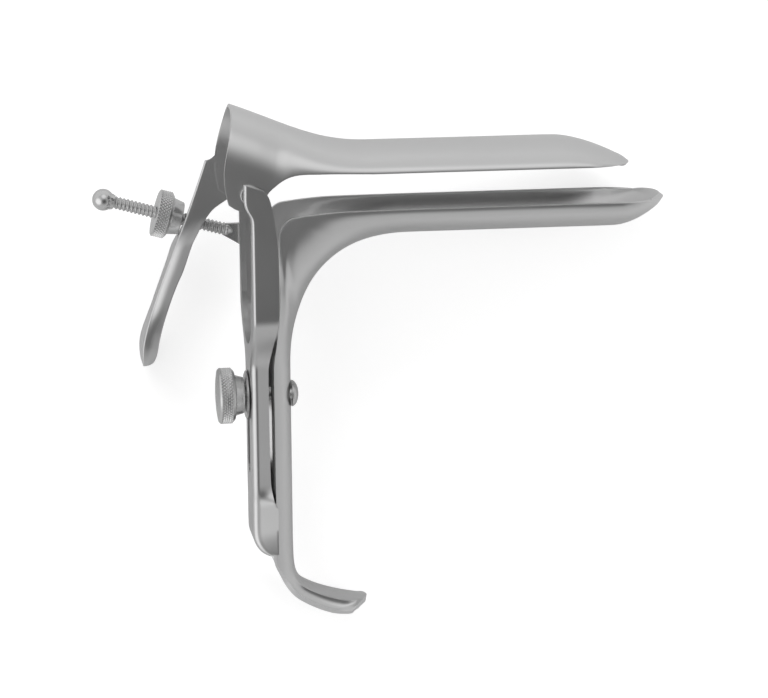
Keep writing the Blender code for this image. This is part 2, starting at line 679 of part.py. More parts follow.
def yoke_sections():
    """Stations down the yoke: front point, rear edge point, half width, corner radius."""
    front = YOKE_FRONT_X
    arm = YOKE_ARM_HALF_WIDTH
    low = YOKE_HALF_WIDTH
    shoe = HANDLE_HALF_WIDTH + SEAT_GAP + YOKE_SHEET
    rear = SHOE_REAR_X
    lip = YOKE_CORNER_R
    top = YOKE_TOP_Z
    tab = front - 1.9 * MM
    yield (tab, top), (front + 3.4 * MM, top - 1.7 * MM), arm, lip
    yield (tab, top - 1.6 * MM), (front + 4.6 * MM, top - 3.6 * MM), arm, lip
    yield (tab, top - 4.8 * MM), (front + 5.5 * MM, top - 7.0 * MM), arm, lip
    yield (tab + 0.4 * MM, top - 6.4 * MM), (front + 5.8 * MM, top - 8.5 * MM), arm, lip
    yield (front - 0.2 * MM, top - 8.9 * MM), (front + 6.1 * MM, top - 10.8 * MM), arm, lip
    yield (front, top - 11.5 * MM), (front + 6.4 * MM, top - 13.3 * MM), arm, lip
    yield (front, top - 16.5 * MM), (front + 6.8 * MM, top - 18.0 * MM), arm, lip
    yield (front, top - 27.0 * MM), (front + 6.9 * MM, top - 27.5 * MM), arm, lip
    yield (front, YOKE_SHOULDER_TOP_Z + 1.0 * MM), (front + 6.7 * MM, YOKE_SHOULDER_TOP_Z + 1.0 * MM), arm, lip
    drop = YOKE_SHOULDER_END_Z - YOKE_SHOULDER_TOP_Z
    for s in (0.10, 0.35, 0.65, 0.90):
        z = YOKE_SHOULDER_TOP_Z + drop * s
        yield (front, z), (front + mix(6.6, 5.4, s) * MM, z), mix(arm, low, mix(s, smooth(s), 0.6)), lip
    yield (front, YOKE_SHOULDER_END_Z - 1.0 * MM), (front + 5.3 * MM, YOKE_SHOULDER_END_Z - 1.0 * MM), low, lip
    yield (front, STUD_Z - 9.0 * MM), (front + 5.4 * MM, STUD_Z - 9.0 * MM), low, lip
    yield (front, YOKE_STEP_Z + 2.5 * MM), (front + 5.9 * MM, YOKE_STEP_Z + 2.5 * MM), low, lip
    yield (front, YOKE_STEP_Z), (front + 5.95 * MM, YOKE_STEP_Z), mix(low, shoe, 0.35), lip
    yield (front, YOKE_STEP_Z - 2.0 * MM), (front + 6.4 * MM, YOKE_STEP_Z - 2.0 * MM), mix(low, shoe, 0.95), lip
    yield (front, YOKE_STEP_Z - 4.0 * MM), (rear, YOKE_STEP_Z - 4.0 * MM), shoe, lip
    cup_top = SHOE_BOTTOM_Z + 9.5 * MM
    cup_reach = rear - front - 2.0 * MM
    yield (front, cup_top), (rear, cup_top + 1.0 * MM), shoe, lip
    for deg in (20.0, 38.0, 54.0, 68.0, 80.0):
        a = math.radians(deg)
        f = (front + cup_reach * (1.0 - math.cos(a)), cup_top + (SHOE_BOTTOM_Z - cup_top) * math.sin(a))
        r = (rear, mix(cup_top + 1.0 * MM, SHOE_BOTTOM_Z + 2.2 * MM, deg / 80.0))
        yield f, r, shoe, lip


def yoke_rows(inset):
    """Skin of the yoke, a bent sheet: rear edge, flange, corner, web, and back again.

    inset is 0 for the outer skin and the sheet's thickness for the inner one.
    """
    sections = list(yoke_sections())
    fronts = [Vector((fx, 0.0, fz)) for (fx, fz), _, _, _ in sections]
    rows = []
    for k, (_, (rx, rz), half_width, radius) in enumerate(sections):
        low, high = max(k - 1, 0), min(k + 1, len(sections) - 1)
        along = (fronts[high] - fronts[low]).normalized()
        narrowing = (sections[low][2] - sections[high][2]) / (fronts[high] - fronts[low]).length
        rear = Vector((rx, 0.0, rz))
        back = (rear - fronts[k]).normalized()
        front = fronts[k] + Vector((-along.z, 0.0, along.x)) * inset
        half_width -= inset * math.sqrt(1.0 + narrowing ** 2)
        if inset:
            radius = YOKE_INNER_CORNER_R
        depth = (rear - front).dot(back)
        radius = min(radius, 0.5 * depth)
        start = front + back * radius
        half = []
        for s in (1.0, 0.5, 0.0):
            p = start.lerp(rear, s)
            p.y = half_width
            half.append(p)
        for i in range(1, 6):
            a = math.radians(90.0 * i / 5)
            p = front + back * radius * (1.0 - math.sin(a))
            p.y = half_width - radius * (1.0 - math.cos(a))
            half.append(p)
        for s in (0.6, 0.3):
            p = front.copy()
            p.y = (half_width - radius) * s
            half.append(p)
        mirrored = [Vector((p.x, -p.y, p.z)) for p in reversed(half)]
        rows.append(half + [front] + mirrored)
    return rows


def yoke_mouth_outline():
    """Outline (y, z) of the opening between the yoke's arms, open at the top."""
    lip = YOKE_ARM_HALF_WIDTH - YOKE_LIP
    low = YOKE_MOUTH_BOTTOM_Z
    top = YOKE_TOP_Z + CUT_PAST
    round_r = lip - YOKE_BOWL_NARROWER
    wide = YOKE_ARM_HALF_WIDTH - YOKE_SHEET + YOKE_OPENING_PAST_ARM
    right = [(wide, top), (wide, YOKE_TAB_BOTTOM_Z), (lip, YOKE_LIP_TOP_Z),
             (lip - YOKE_MOUTH_TAPER, low + YOKE_BOWL_TOP)]
    bowl = arc_points(0.0, low + round_r, round_r, 0.0, -180.0, 18)
    left = [(-y, z) for y, z in reversed(right)]
    return right + bowl + left


def make_yoke(root):
    """Yoke: a bent frame whose arms carry the upper blade and whose slot takes the stud."""
    ob = place(shell_object("yoke_frame", yoke_rows(0.0), yoke_rows(YOKE_SHEET)), root)
    mouth = plate("cut_yoke_mouth", yoke_mouth_outline(), YOKE_FRONT_X - CUT_PAST,
                  YOKE_FRONT_X + YOKE_SHEET + 1.5 * MM, "X")
    slot_mid = 0.5 * (CLAMP_SLOT_TOP_Z + CLAMP_SLOT_BOTTOM_Z)
    slot_half = 0.5 * (CLAMP_SLOT_TOP_Z - CLAMP_SLOT_BOTTOM_Z)
    slot = plate("cut_clamp_slot", slot_outline((0.0, slot_mid), (0.0, 1.0), slot_half, CLAMP_SLOT_HALF_WIDTH),
                 YOKE_FRONT_X - 2.0 * MM, YOKE_FRONT_X + YOKE_SHEET + 2.0 * MM, "X")
    for cutter in (mouth, slot):
        place(cutter, root, cutter=True)
        combine(ob, cutter, "DIFFERENCE")
    pin = round_bar("cut_hinge_bores", HINGE_PIN_R + PIN_GAP, -YOKE_ARM_HALF_WIDTH - 2.0 * MM,
                    YOKE_ARM_HALF_WIDTH + 2.0 * MM, (0, 1, 0), 24)
    place(pin, root, (HINGE_X, 0.0, HINGE_Z), cutter=True)
    combine(ob, pin, "DIFFERENCE")
    rod_pin = round_bar("cut_rod_bore", ROD_RIVET_R + PIN_GAP, YOKE_ARM_HALF_WIDTH - 4.0 * MM,
                        YOKE_ARM_HALF_WIDTH + 2.0 * MM, (0, 1, 0), 24)
    place(rod_pin, root, (ROD_EYE_X, 0.0, ROD_EYE_Z), cutter=True)
    combine(ob, rod_pin, "DIFFERENCE")
    return finish(ob, steel("steel_yoke", (0.60, 0.60, 0.61), 0.36))


def make_hinge_rivets(root):
    """A rivet and a spacer washer at each ear; the rivets are ground flush outside."""
    metal = steel("steel_rivet", (0.66, 0.66, 0.67), 0.28)
    arm_outer = YOKE_ARM_HALF_WIDTH
    ear_inner = ear_half_width() - UPPER_SHEET
    head_y = ear_inner - SEAT_GAP
    washer_low = ear_half_width() + WASHER_GAP
    washer_high = washer_low + HINGE_WASHER_T
    for label, side in (("near", -1.0), ("far", 1.0)):
        profile = [(arm_outer, 0.0), (arm_outer, HINGE_PIN_R - 0.15 * MM),
                   (arm_outer - 0.15 * MM, HINGE_PIN_R), (head_y, HINGE_PIN_R), (head_y, HINGE_HEAD_R),
                   (head_y - 0.5 * HINGE_HEAD_T, HINGE_HEAD_R - 0.1 * MM),
                   (head_y - HINGE_HEAD_T, HINGE_HEAD_R - 0.6 * MM), (head_y - HINGE_HEAD_T, 0.0)]
        rivet = outward(baked(turned_object("hinge_rivet_" + label, profile, 24)))
        place(turn_axis_to(rivet, (0, side, 0)), root, (HINGE_X, 0.0, HINGE_Z))
        finish(rivet, metal)
        bore_r = HINGE_PIN_R + PIN_GAP
        ring = [(washer_high, bore_r), (washer_high, HINGE_WASHER_R - 0.15 * MM),
                (washer_high - 0.15 * MM, HINGE_WASHER_R), (washer_low, HINGE_WASHER_R),
                (washer_low, bore_r), (washer_high, bore_r)]
        washer = outward(baked(turned_object("hinge_washer_" + label, ring, 24)))
        place(turn_axis_to(washer, (0, side, 0)), root, (HINGE_X, 0.0, HINGE_Z))
        finish(washer, metal)


def knob_profile(grip_r, grip_width, collar_r, collar_end_r, collar_length, chamfer, dome):
    """Outline of a knurled knob from its outer end to its collar; the collar ends at 0."""
    inner = collar_length
    outer = collar_length + grip_width
    return [(outer + dome, 0.0), (outer + 0.75 * dome, 0.5 * grip_r), (outer + 0.15 * dome, grip_r - chamfer),
            (outer - chamfer, grip_r), (inner + 2.0 * chamfer, grip_r), (inner, grip_r - 2.4 * chamfer),
            (inner, collar_r + 0.3 * MM), (inner - 0.3 * MM, collar_r),
            (0.25 * MM, collar_end_r), (0.0, collar_end_r - 0.25 * MM)]


def make_clamp(root):
    """Stud through the handle, with the washer and knurled knob that clamp the yoke."""
    metal = steel("steel_clamp", (0.66, 0.66, 0.67), 0.30)
    knob_x = YOKE_FRONT_X - SEAT_GAP - CLAMP_WASHER_T - SEAT_GAP
    stud_tip = knob_x - KNOB_COLLAR_LENGTH - 0.6 * KNOB_WIDTH
    head = [(STUD_HEAD_H * math.cos(math.radians(a)), STUD_HEAD_R * math.sin(math.radians(a)))
            for a in (0.0, 20.0, 40.0, 60.0, 80.0)]
    seat = HANDLE_BACK_X + 0.5 * SEAT_GAP
    profile = [(seat + along, radius) for along, radius in head]
    profile += [(seat, STUD_HEAD_R), (seat, STUD_R), (stud_tip + 0.4 * MM, STUD_R),
                (stud_tip, STUD_R - 0.4 * MM), (stud_tip, 0.0)]
    stud = turn_axis_to(outward(baked(turned_object("clamp_stud", profile, 24))), (1, 0, 0))
    place(stud, root, (0.0, 0.0, STUD_Z))
    finish(stud, metal)

    bore = STUD_R + PIN_GAP
    washer_x = YOKE_FRONT_X - SEAT_GAP
    ring = [(washer_x, bore), (washer_x, CLAMP_WASHER_R - 0.2 * MM), (washer_x - 0.3 * MM, CLAMP_WASHER_R),
            (washer_x - CLAMP_WASHER_T, CLAMP_WASHER_R - 0.6 * MM), (washer_x - CLAMP_WASHER_T, bore),
            (washer_x, bore)]
    washer = turn_axis_to(outward(baked(turned_object("clamp_washer", ring, 28))), (1, 0, 0))
    place(washer, root, (0.0, 0.0, STUD_Z))
    finish(washer, metal)

    outline = knob_profile(KNOB_R, KNOB_WIDTH, KNOB_COLLAR_R, KNOB_COLLAR_END_R, KNOB_COLLAR_LENGTH,
                           0.4 * MM, KNOB_DOME)
    depth = knob_x - stud_tip + SEAT_GAP
    outline += [(0.0, bore), (depth, bore), (depth, 0.0)]
    knob = turn_axis_to(outward(baked(turned_object("clamp_knob", outline))), (-1, 0, 0))
    place(knob, root, (knob_x, 0.0, STUD_Z))
    finish(knob, metal)


def make_rod(rod_frame):
    """Adjusting rod with a flattened eye, its ball end and the nut that runs on it."""
    metal = steel("steel_rod", (0.58, 0.58, 0.59), 0.32)
    half_t = 0.5 * ROD_EYE_T
    eye = arc_points(0.0, 0.0, ROD_EYE_R, -118.0, 118.0, 17)
    neck = [(-ROD_FLARE_LENGTH, ROD_R * 0.96), (-ROD_FLARE_LENGTH, -ROD_R * 0.96)]
    paddle = baked(plate("rod_eye_blank", eye + neck, -half_t, half_t))
    spigot_start = BALL_FROM_EYE - 1.05 * BALL_R
    spigot_end = BALL_FROM_EYE + 0.35 * BALL_R
    spigot_r = 0.6 * ROD_R
    profile = [(spigot_end - SEAT_GAP, 0.0), (spigot_end - SEAT_GAP, spigot_r), (spigot_start, spigot_r),
               (spigot_start, ROD_R), (ROD_FLARE_LENGTH - 0.5 * MM, ROD_R),
               (ROD_FLARE_LENGTH - 2.6 * MM, half_t), (ROD_FLARE_LENGTH - 2.6 * MM, 0.0)]
    rod = turn_axis_to(outward(baked(turned_object("adjusting_rod", profile, 24))), (-1, 0, 0))
    place(rod, rod_frame)
    place(paddle, rod_frame, cutter=True)
    combine(rod, paddle, "UNION")
    bore = round_bar("cut_eye_bore", ROD_RIVET_R + PIN_GAP, -3.0 * MM, 3.0 * MM, (0, 1, 0), 24)
    place(bore, rod_frame, cutter=True)
    combine(rod, bore, "DIFFERENCE")
    finish(rod, metal)

    bore_r = spigot_r + PIN_GAP
    ball = [(BALL_FROM_EYE + BALL_R * math.cos(math.radians(a)), BALL_R * math.sin(math.radians(a)))
            for a in range(0, 136, 15)]
    start = spigot_start + 0.5 * SEAT_GAP
    ball += [(start, ROD_R + 0.1 * MM), (start, bore_r), (spigot_end, bore_r), (spigot_end, 0.0)]
    cap = turn_axis_to(outward(baked(turned_object("rod_ball_end", ball, 24))), (-1, 0, 0))
    place(cap, rod_frame)
    finish(cap, steel("steel_ball", (0.68, 0.68, 0.69), 0.2))


def make_nut(nut_frame):
    """Knurled nut, threaded right through, collar towards the lever."""
    outline = knob_profile(NUT_R, NUT_WIDTH, NUT_COLLAR_R, NUT_COLLAR_END_R, NUT_COLLAR_LENGTH, 0.35 * MM, 0.0)
    bore = ROD_R + NUT_CLEARANCE
    outline[0] = (outline[0][0], bore)
    del outline[1]
    outline += [(0.0, bore), outline[0]]
    nut = turn_axis_to(outward(baked(turned_object("lever_nut", outline))), (-1, 0, 0))
    place(nut, nut_frame)
    finish(nut, steel("steel_nut", (0.66, 0.66, 0.67), 0.3))


def make_rod_rivet(rod_frame):
    """Rivet that pins the rod's eye to the yoke's arm."""
    plane = rod_plane_y()
    inner = YOKE_ARM_HALF_WIDTH - YOKE_SHEET - plane
    outer = 0.5 * ROD_EYE_T + 0.5 * SEAT_GAP
    profile = [(outer + ROD_RIVET_HEAD_H * math.cos(math.radians(a)),
                ROD_RIVET_HEAD_R * math.sin(math.radians(a)))
               for a in (0.0, 25.0, 50.0, 75.0)]
    profile += [(outer, ROD_RIVET_HEAD_R), (outer, ROD_RIVET_R), (inner, ROD_RIVET_R), (inner, 0.0)]
    rivet = turn_axis_to(outward(baked(turned_object("rod_rivet", profile, 24))), (0, 1, 0))
    place(rivet, rod_frame)
    finish(rivet, steel("steel_rod_rivet", (0.66, 0.66, 0.67), 0.28))


def part_vertices(root):
    """Every part's vertices in the instrument frame, and the centre of mass."""
    bpy.context.view_layer.update()
    graph = bpy.context.evaluated_depsgraph_get()
    points = []
    moment = Vector()
    volume = 0.0
    for ob in PARTS.objects:
        if ob.type != "MESH":
            continue
        evaluated = ob.evaluated_get(graph)
        mesh = evaluated.to_mesh()
        world = ob.matrix_world.copy()
        here = [world @ v.co for v in mesh.vertices]
        points += here
        mesh.calc_loop_triangles()
        for tri in mesh.loop_triangles:
            a, b, c = (here[i] for i in tri.vertices)
            six = a.dot(b.cross(c))
            volume += six
            moment += (a + b + c) * (six / 4.0)
        evaluated.to_mesh_clear()
    return points, moment / volume


def lay_down(root):
    """Lay the instrument on the widest hull face of its +Y side that carries its weight."""
    points, centre = part_vertices(root)
    bm = bmesh.new()
    for p in points:
        bm.verts.new(p)
    hull = bmesh.ops.convex_hull(bm, input=bm.verts)["geom"]
    widest = 0.0
    down = None
    for face in (g for g in hull if isinstance(g, bmesh.types.BMFace)):
        a, b, c = (v.co for v in face.verts[:3])
        normal = (b - a).cross(c - a)
        area = normal.length
        if area < 1e-12:
            continue
        normal.normalize()
        if normal.dot(a - centre) < 0.0:
            normal.negate()
        foot = centre + normal * normal.dot(a - centre)
        inside = all(normal.dot((q - p).cross(foot - p)) * normal.dot((b - a).cross(c - a)) >= 0.0
                     for p, q in ((a, b), (b, c), (c, a)))
        if inside and normal.y > 0.7 and area > widest:
            widest = area
            down = normal.copy()
    bm.free()
    right = (Vector((1.0, 0.0, 0.0)) - down * down.x).normalized()
    up = -down
    back = up.cross(right)
    turn = Matrix((right, back, up))
    root.rotation_mode = "QUATERNION"
    root.rotation_quaternion = turn.to_quaternion()
    turned = [turn @ p for p in points]
    low = [min(p[i] for p in turned) for i in range(3)]
    high = [max(p[i] for p in turned) for i in range(3)]
    root.location = (-0.5 * (low[0] + high[0]), -0.5 * (low[1] + high[1]), -low[2])
    bpy.context.view_layer.update()


clear_scene()
PARTS = new_collection(COLLECTION)
CUTTERS = new_collection(COLLECTION + "_cutters")

instrument = empty("instrument", (0.0, 0.0, 0.0), None)
hinge_axis = empty("hinge_axis", (HINGE_X, 0.0, HINGE_Z), instrument)
rod_axis = empty("rod_axis", (ROD_EYE_X, rod_plane_y(), ROD_EYE_Z), instrument, math.radians(ROD_TILT_DEG))
nut_axis = empty("nut_axis", (-NUT_FACE_FROM_EYE, 0.0, 0.0), rod_axis)

make_lower_blade(instrument)
make_upper_blade(hinge_axis)
make_yoke(instrument)
make_hinge_rivets(instrument)
make_clamp(instrument)
make_rod(rod_axis)
make_nut(nut_axis)
make_rod_rivet(rod_axis)
lay_down(instrument)
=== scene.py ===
"""Looks of the lying examination speculum: fine pressed-steel sheets, thread and knurls."""
import json
import math

import bmesh
import bpy
import numpy as np
from mathutils import Matrix, Vector


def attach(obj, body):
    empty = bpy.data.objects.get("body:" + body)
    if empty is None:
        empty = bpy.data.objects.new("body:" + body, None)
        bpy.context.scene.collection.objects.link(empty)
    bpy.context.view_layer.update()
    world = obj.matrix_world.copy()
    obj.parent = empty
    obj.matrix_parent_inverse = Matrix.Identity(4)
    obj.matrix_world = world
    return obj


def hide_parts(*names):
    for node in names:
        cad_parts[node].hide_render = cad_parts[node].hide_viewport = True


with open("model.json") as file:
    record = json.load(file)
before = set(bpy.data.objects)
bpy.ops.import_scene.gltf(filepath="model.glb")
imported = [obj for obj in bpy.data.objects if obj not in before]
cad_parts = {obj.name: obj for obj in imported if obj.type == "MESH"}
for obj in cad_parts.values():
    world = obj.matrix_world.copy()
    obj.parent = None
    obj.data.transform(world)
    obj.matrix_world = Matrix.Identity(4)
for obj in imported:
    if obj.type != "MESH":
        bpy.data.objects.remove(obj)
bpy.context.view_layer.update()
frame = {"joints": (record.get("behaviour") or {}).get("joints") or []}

MM = 0.001

# Sizes that several pieces share, in millimetres, in the instrument's own frame:
# x runs along the blades, y towards the far side and z up the handle to the hinge
HINGE_X = 2.9
HINGE_BORE_R = 1.23
LOWER_SHEET = 1.55
UPPER_SHEET = 1.0
YOKE_SHEET = 1.5
BLADE_HALF_WIDTH = 15.0
BLADE_LEAN = 0.4
EAR_HALF_WIDTH = 14.0
HANDLE_HALF_WIDTH = 6.5
CLAMP_Z = -56.3
CLAMP_BORE_R = 2.08
ROD_EYE = (6.2, 18.2, -15.9)
ROD_TILT = math.radians(15.5)
ROD_AXIS = (-math.cos(ROD_TILT), 0.0, math.sin(ROD_TILT))

# How fine the meshes are
COLUMNS = 72
PROFILE_STEPS = 120
ROWS_BETWEEN = 4
TIP_ROWS = 8
SLOT_END_POINTS = 14
CURVE_POINTS = 41
LINE_PARTS = 12
WEB_STEPS = 13
FOLD_STEPS = 6
FLANGE_STEPS = 12
YOKE_SIDE_STEPS = 8
YOKE_CORNER_STEPS = 7
YOKE_FRONT_STEPS = 12
MERGE = 0.0005

# Instrument frame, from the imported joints
joints = {j["name"]: j for j in frame["joints"]}
up = Vector(joints["yoke_slide"]["axis"]).normalized()
near = Vector(joints["blade_hinge"]["axis"]).normalized()
along = (-near).cross(up).normalized()
hinge_point = Vector(joints["blade_hinge"]["pos_m"])
INSTRUMENT = Matrix((along, -near, up)).transposed().to_4x4()
INSTRUMENT.translation = hinge_point - along * HINGE_X * MM


# Materials
GRAIN_SCALE = 900.0
GRAIN_DEPTH = 0.012
GRAIN_STRENGTH = 0.25
CLOUD_SCALE = 60.0
CLOUD_ROUGHNESS = 0.05


def steel(name, grey, roughness):
    """Satin stainless steel with a fine, even grain and slightly uneven roughness."""
    mat = bpy.data.materials.new(name)
    mat.use_nodes = True
    nodes = mat.node_tree.nodes
    links = mat.node_tree.links
    shader = nodes["Principled BSDF"]
    shader.inputs["Base Color"].default_value = (grey, grey, grey, 1.0)
    shader.inputs["Metallic"].default_value = 1.0
    coords = nodes.new("ShaderNodeTexCoord")

    def noise(scale, detail):
        node = nodes.new("ShaderNodeTexNoise")
        node.inputs["Scale"].default_value = scale
        node.inputs["Detail"].default_value = detail
        links.new(coords.outputs["Object"], node.inputs["Vector"])
        return node.outputs["Fac"]

    spread = nodes.new("ShaderNodeMapRange")
    spread.inputs["To Min"].default_value = roughness - CLOUD_ROUGHNESS
    spread.inputs["To Max"].default_value = roughness + CLOUD_ROUGHNESS
    links.new(noise(CLOUD_SCALE, 3.0), spread.inputs["Value"])
    links.new(spread.outputs["Result"], shader.inputs["Roughness"])
    bump = nodes.new("ShaderNodeBump")
    bump.inputs["Strength"].default_value = GRAIN_STRENGTH
    bump.inputs["Distance"].default_value = GRAIN_DEPTH * MM
    links.new(noise(GRAIN_SCALE, 2.0), bump.inputs["Height"])
    links.new(bump.outputs["Normal"], shader.inputs["Normal"])
    return mat


SHEET_STEEL = steel("satin_steel_sheet", 0.70, 0.30)
YOKE_STEEL = steel("satin_steel_yoke", 0.64, 0.30)
TURNED_STEEL = steel("satin_steel_turned", 0.66, 0.26)
KNURL_STEEL = steel("satin_steel_knurl", 0.72, 0.24)
THREAD_STEEL = steel("steel_thread", 0.60, 0.24)
BALL_STEEL = steel("polished_steel_ball", 0.68, 0.2)


# Curves
def smooth(t):
    """Eases from 0 to 1 as t does."""
    t = min(max(t, 0.0), 1.0)
    return t * t * (3.0 - 2.0 * t)


def rising(t, start, over):
    """Eases from 0 to 1 while t runs from a start over a stretch."""
    return smooth((t - start) / over)


def mix(a, b, t):
    return a + (b - a) * t


def xz(points):
    return [np.array((x, 0.0, z)) for x, z in points]


def cubic(a, b, c, d, t):
    """The point at t of a Bezier curve."""
    u = 1.0 - t
    return a * u ** 3 + 3.0 * b * u * u * t + 3.0 * c * u * t * t + d * t ** 3


def bezier(points):
    a, b, c, d = xz(points)
    return [cubic(a, b, c, d, i / (CURVE_POINTS - 1)) for i in range(CURVE_POINTS)]


def resample(points, count):
    """Points spaced evenly along a line."""
    pts = np.array(points)
    step = np.linalg.norm(np.diff(pts, axis=0), axis=1)
    s = np.concatenate(([0.0], np.cumsum(step)))
    want = np.linspace(0.0, s[-1], count)
    return [np.array([np.interp(w, s, pts[:, i]) for i in range(3)]) for w in want]


def refine(rows, parts):
    """Smooth extra rows between the given rows of points."""
    grid = np.array(rows)
    last = len(grid) - 1
    out = []

    def unit(v):
        return v / np.maximum(np.linalg.norm(v, axis=-1, keepdims=True), 1e-9)

    for i in range(last):
        a, b = grid[i], grid[i + 1]
        before, after = grid[max(i - 1, 0)], grid[min(i + 2, last)]
        step = np.linalg.norm(b - a, axis=-1, keepdims=True) / 3.0
        leaving = a + unit(b - before) * step
        arriving = b - unit(after - a) * step
        for k in range(parts):
            out.append(cubic(a, leaving, arriving, b, k / parts))
    out.append(grid[last])
    return out


def smooth_line(points, count):
    return resample(refine(xz(points), LINE_PARTS), count)


def point_at(line, share):
    """The point a share of the way along an evenly spaced line."""
    last = len(line) - 1
    k = min(int(share * last), last - 1)
    return mix(line[k], line[k + 1], share * last - k)


def arc(cx, cz, radius, start_deg, end_deg, count):
    out = []
    for i in range(count):
        a = math.radians(mix(start_deg, end_deg, i / (count - 1)))
        out.append((cx + radius * math.cos(a), cz + radius * math.sin(a)))
    return out


def dome(x, height, radius, degrees):
    """Profile points of a domed or round end, by their angles from its tip."""
    out = []
    for deg in degrees:
        a = math.radians(deg)
        out.append((x + height * math.cos(a), radius * math.sin(a)))
    return out


def slot_outline(half_length, half_width):
    """The outline of an upright slot with round ends."""
    reach = half_length - half_width
    return (arc(0.0, reach, half_width, 0.0, 180.0, SLOT_END_POINTS)
            + arc(0.0, -reach, half_width, 180.0, 360.0, SLOT_END_POINTS))


def rounded(profile, radius, steps=3):
    """Rounds the corners of an open (along, radius) outline."""
    nearly_straight = -0.94
    pts = [np.array(p, float) for p in profile]
    out = [pts[0]]
    for a, b, c in zip(pts, pts[1:], pts[2:]):
        u, v = a - b, c - b
        lu, lv = np.linalg.norm(u), np.linalg.norm(v)
        if float(np.dot(u, v) / (lu * lv)) < nearly_straight:
            out.append(b)
            continue
        r = min(radius, 0.45 * lu, 0.45 * lv)
        p, q = b + u / lu * r, b + v / lv * r
        for k in range(steps + 1):
            t = k / steps
            out.append(p * (1 - t) ** 2 + 2 * b * t * (1 - t) + q * t * t)
    out.append(pts[-1])
    return [tuple(p) for p in out]


# Meshes
def turned_out(mesh, merge=0.0):
    """The mesh with its faces turned outwards, after points closer than merge are joined."""
    bm = bmesh.new()
    bm.from_mesh(mesh)
    if merge:
        bmesh.ops.remove_doubles(bm, verts=bm.verts, dist=merge)
    bmesh.ops.recalc_face_normals(bm, faces=bm.faces)
    bm.to_mesh(mesh)
    bm.free()
    return mesh


def grid_mesh(name, rows, flip=False, closed=False):
    """A skin over rows of points; closed joins each row's end to its start."""
    rows = np.array(rows)
    n, m = rows.shape[:2]
    faces = []
    for i in range(n - 1):
        for k in range(m if closed else m - 1):
            a, b = i * m + k, i * m + (k + 1) % m
            c, d = (i + 1) * m + (k + 1) % m, (i + 1) * m + k
            faces.append((d, c, b, a) if flip else (a, b, c, d))
    mesh = bpy.data.meshes.new(name)
    mesh.from_pydata(rows.reshape(-1, 3).tolist(), [], faces)
    return mesh


def shell_mesh(name, outer, inner):
    """A closed sheet from its outer and inner skins."""
    a, b = np.array(outer), np.array(inner)
    n, m = a.shape[:2]
    verts = a.reshape(-1, 3).tolist() + b.reshape(-1, 3).tolist()
    o = n * m
    faces = []
    for k in range(n - 1):
        for i in range(m - 1):
            p, q, r, s = k * m + i, k * m + i + 1, (k + 1) * m + i + 1, (k + 1) * m + i
            faces.append((p, q, r, s))
            faces.append((o + s, o + r, o + q, o + p))
        for i in (0, m - 1):
            faces.append((k * m + i, (k + 1) * m + i, o + (k + 1) * m + i, o + k * m + i))
    for k in (0, n - 1):
        for i in range(m - 1):
            faces.append((k * m + i, k * m + i + 1, o + k * m + i + 1, o + k * m + i))
    mesh = bpy.data.meshes.new(name)
    mesh.from_pydata(verts, [], faces)
    return turned_out(mesh)


def ring(x, radius, steps):
    """A circle of points about the X axis."""
    out = []
    for k in range(steps):
        a = 2 * math.pi * k / steps
        out.append((x, radius * math.cos(a), radius * math.sin(a)))
    return out


def turned(name, profile, steps=64):
    """A body turned about X from (along, radius) pairs; points on the axis close it."""
    rings = [ring(x, radius, steps) for x, radius in profile]
    return turned_out(grid_mesh(name, rings, closed=True), MERGE)


def prism(outline, low, high, axis):
    """A flat-ended solid from an outline; axis X takes (y, z) pairs and axis Y takes (x, z)."""
    bm = bmesh.new()
    if axis == "X":
        verts = [bm.verts.new((low, a, b)) for a, b in outline]
        push = Vector((high - low, 0.0, 0.0))
    else:
        verts = [bm.verts.new((a, low, b)) for a, b in outline]
        push = Vector((0.0, high - low, 0.0))
    face = bm.faces.new(verts)
    moved = bmesh.ops.extrude_face_region(bm, geom=[face])["geom"]
    bmesh.ops.translate(bm, vec=push, verts=[g for g in moved if isinstance(g, bmesh.types.BMVert)])
    bmesh.ops.recalc_face_normals(bm, faces=bm.faces)
    mesh = bpy.data.meshes.new("prism")
    bm.to_mesh(mesh)
    bm.free()
    return mesh


def placed(mesh, axis, at):
    """The mesh with its X axis turned to an axis and its origin moved to a place."""
    turn = Vector((1.0, 0.0, 0.0)).rotation_difference(Vector(axis)).to_matrix().to_4x4()
    mesh.transform(Matrix.Translation(Vector(at)) @ turn)
    return mesh


def temp(mesh):
    ob = bpy.data.objects.new("temp", mesh)
    bpy.context.scene.collection.objects.link(ob)
    return ob


def evaluated_mesh(ob):
    """The mesh of an object after its modifiers; the object itself is removed."""
    bpy.context.view_layer.update()
    mesh = bpy.data.meshes.new_from_object(ob.evaluated_get(bpy.context.evaluated_depsgraph_get()))
    bpy.data.objects.remove(ob)
    return mesh


def round_edges(ob, width):
    bevel = ob.modifiers.new("edge", "BEVEL")
    bevel.width = width
    bevel.segments = 3
    bevel.limit_method = "ANGLE"
    bevel.angle_limit = math.radians(50.0)


def eased_edges(mesh, width):
    """The mesh with its sharp edges rounded."""
    ob = temp(mesh)
    round_edges(ob, width)
    return evaluated_mesh(ob)


def thick_sheet(mesh, thickness, edge):
    """A skin made as thick as its sheet, with finely rounded edges."""
    ob = temp(mesh)
    solid = ob.modifiers.new("thickness", "SOLIDIFY")
    solid.thickness = thickness
    solid.offset = -1.0
    solid.use_even_offset = False
    round_edges(ob, edge)
    return evaluated_mesh(ob)


def boolean(mesh, tools, operation="DIFFERENCE"):
    ob = temp(mesh)
    others = []
    for tool in tools:
        other = temp(tool)
        others.append(other)
        mod = ob.modifiers.new("bool", "BOOLEAN")
        mod.operation = operation
        mod.object = other
        mod.solver = "MANIFOLD"
    out = evaluated_mesh(ob)
    for other in others:
        bpy.data.objects.remove(other)
    return out


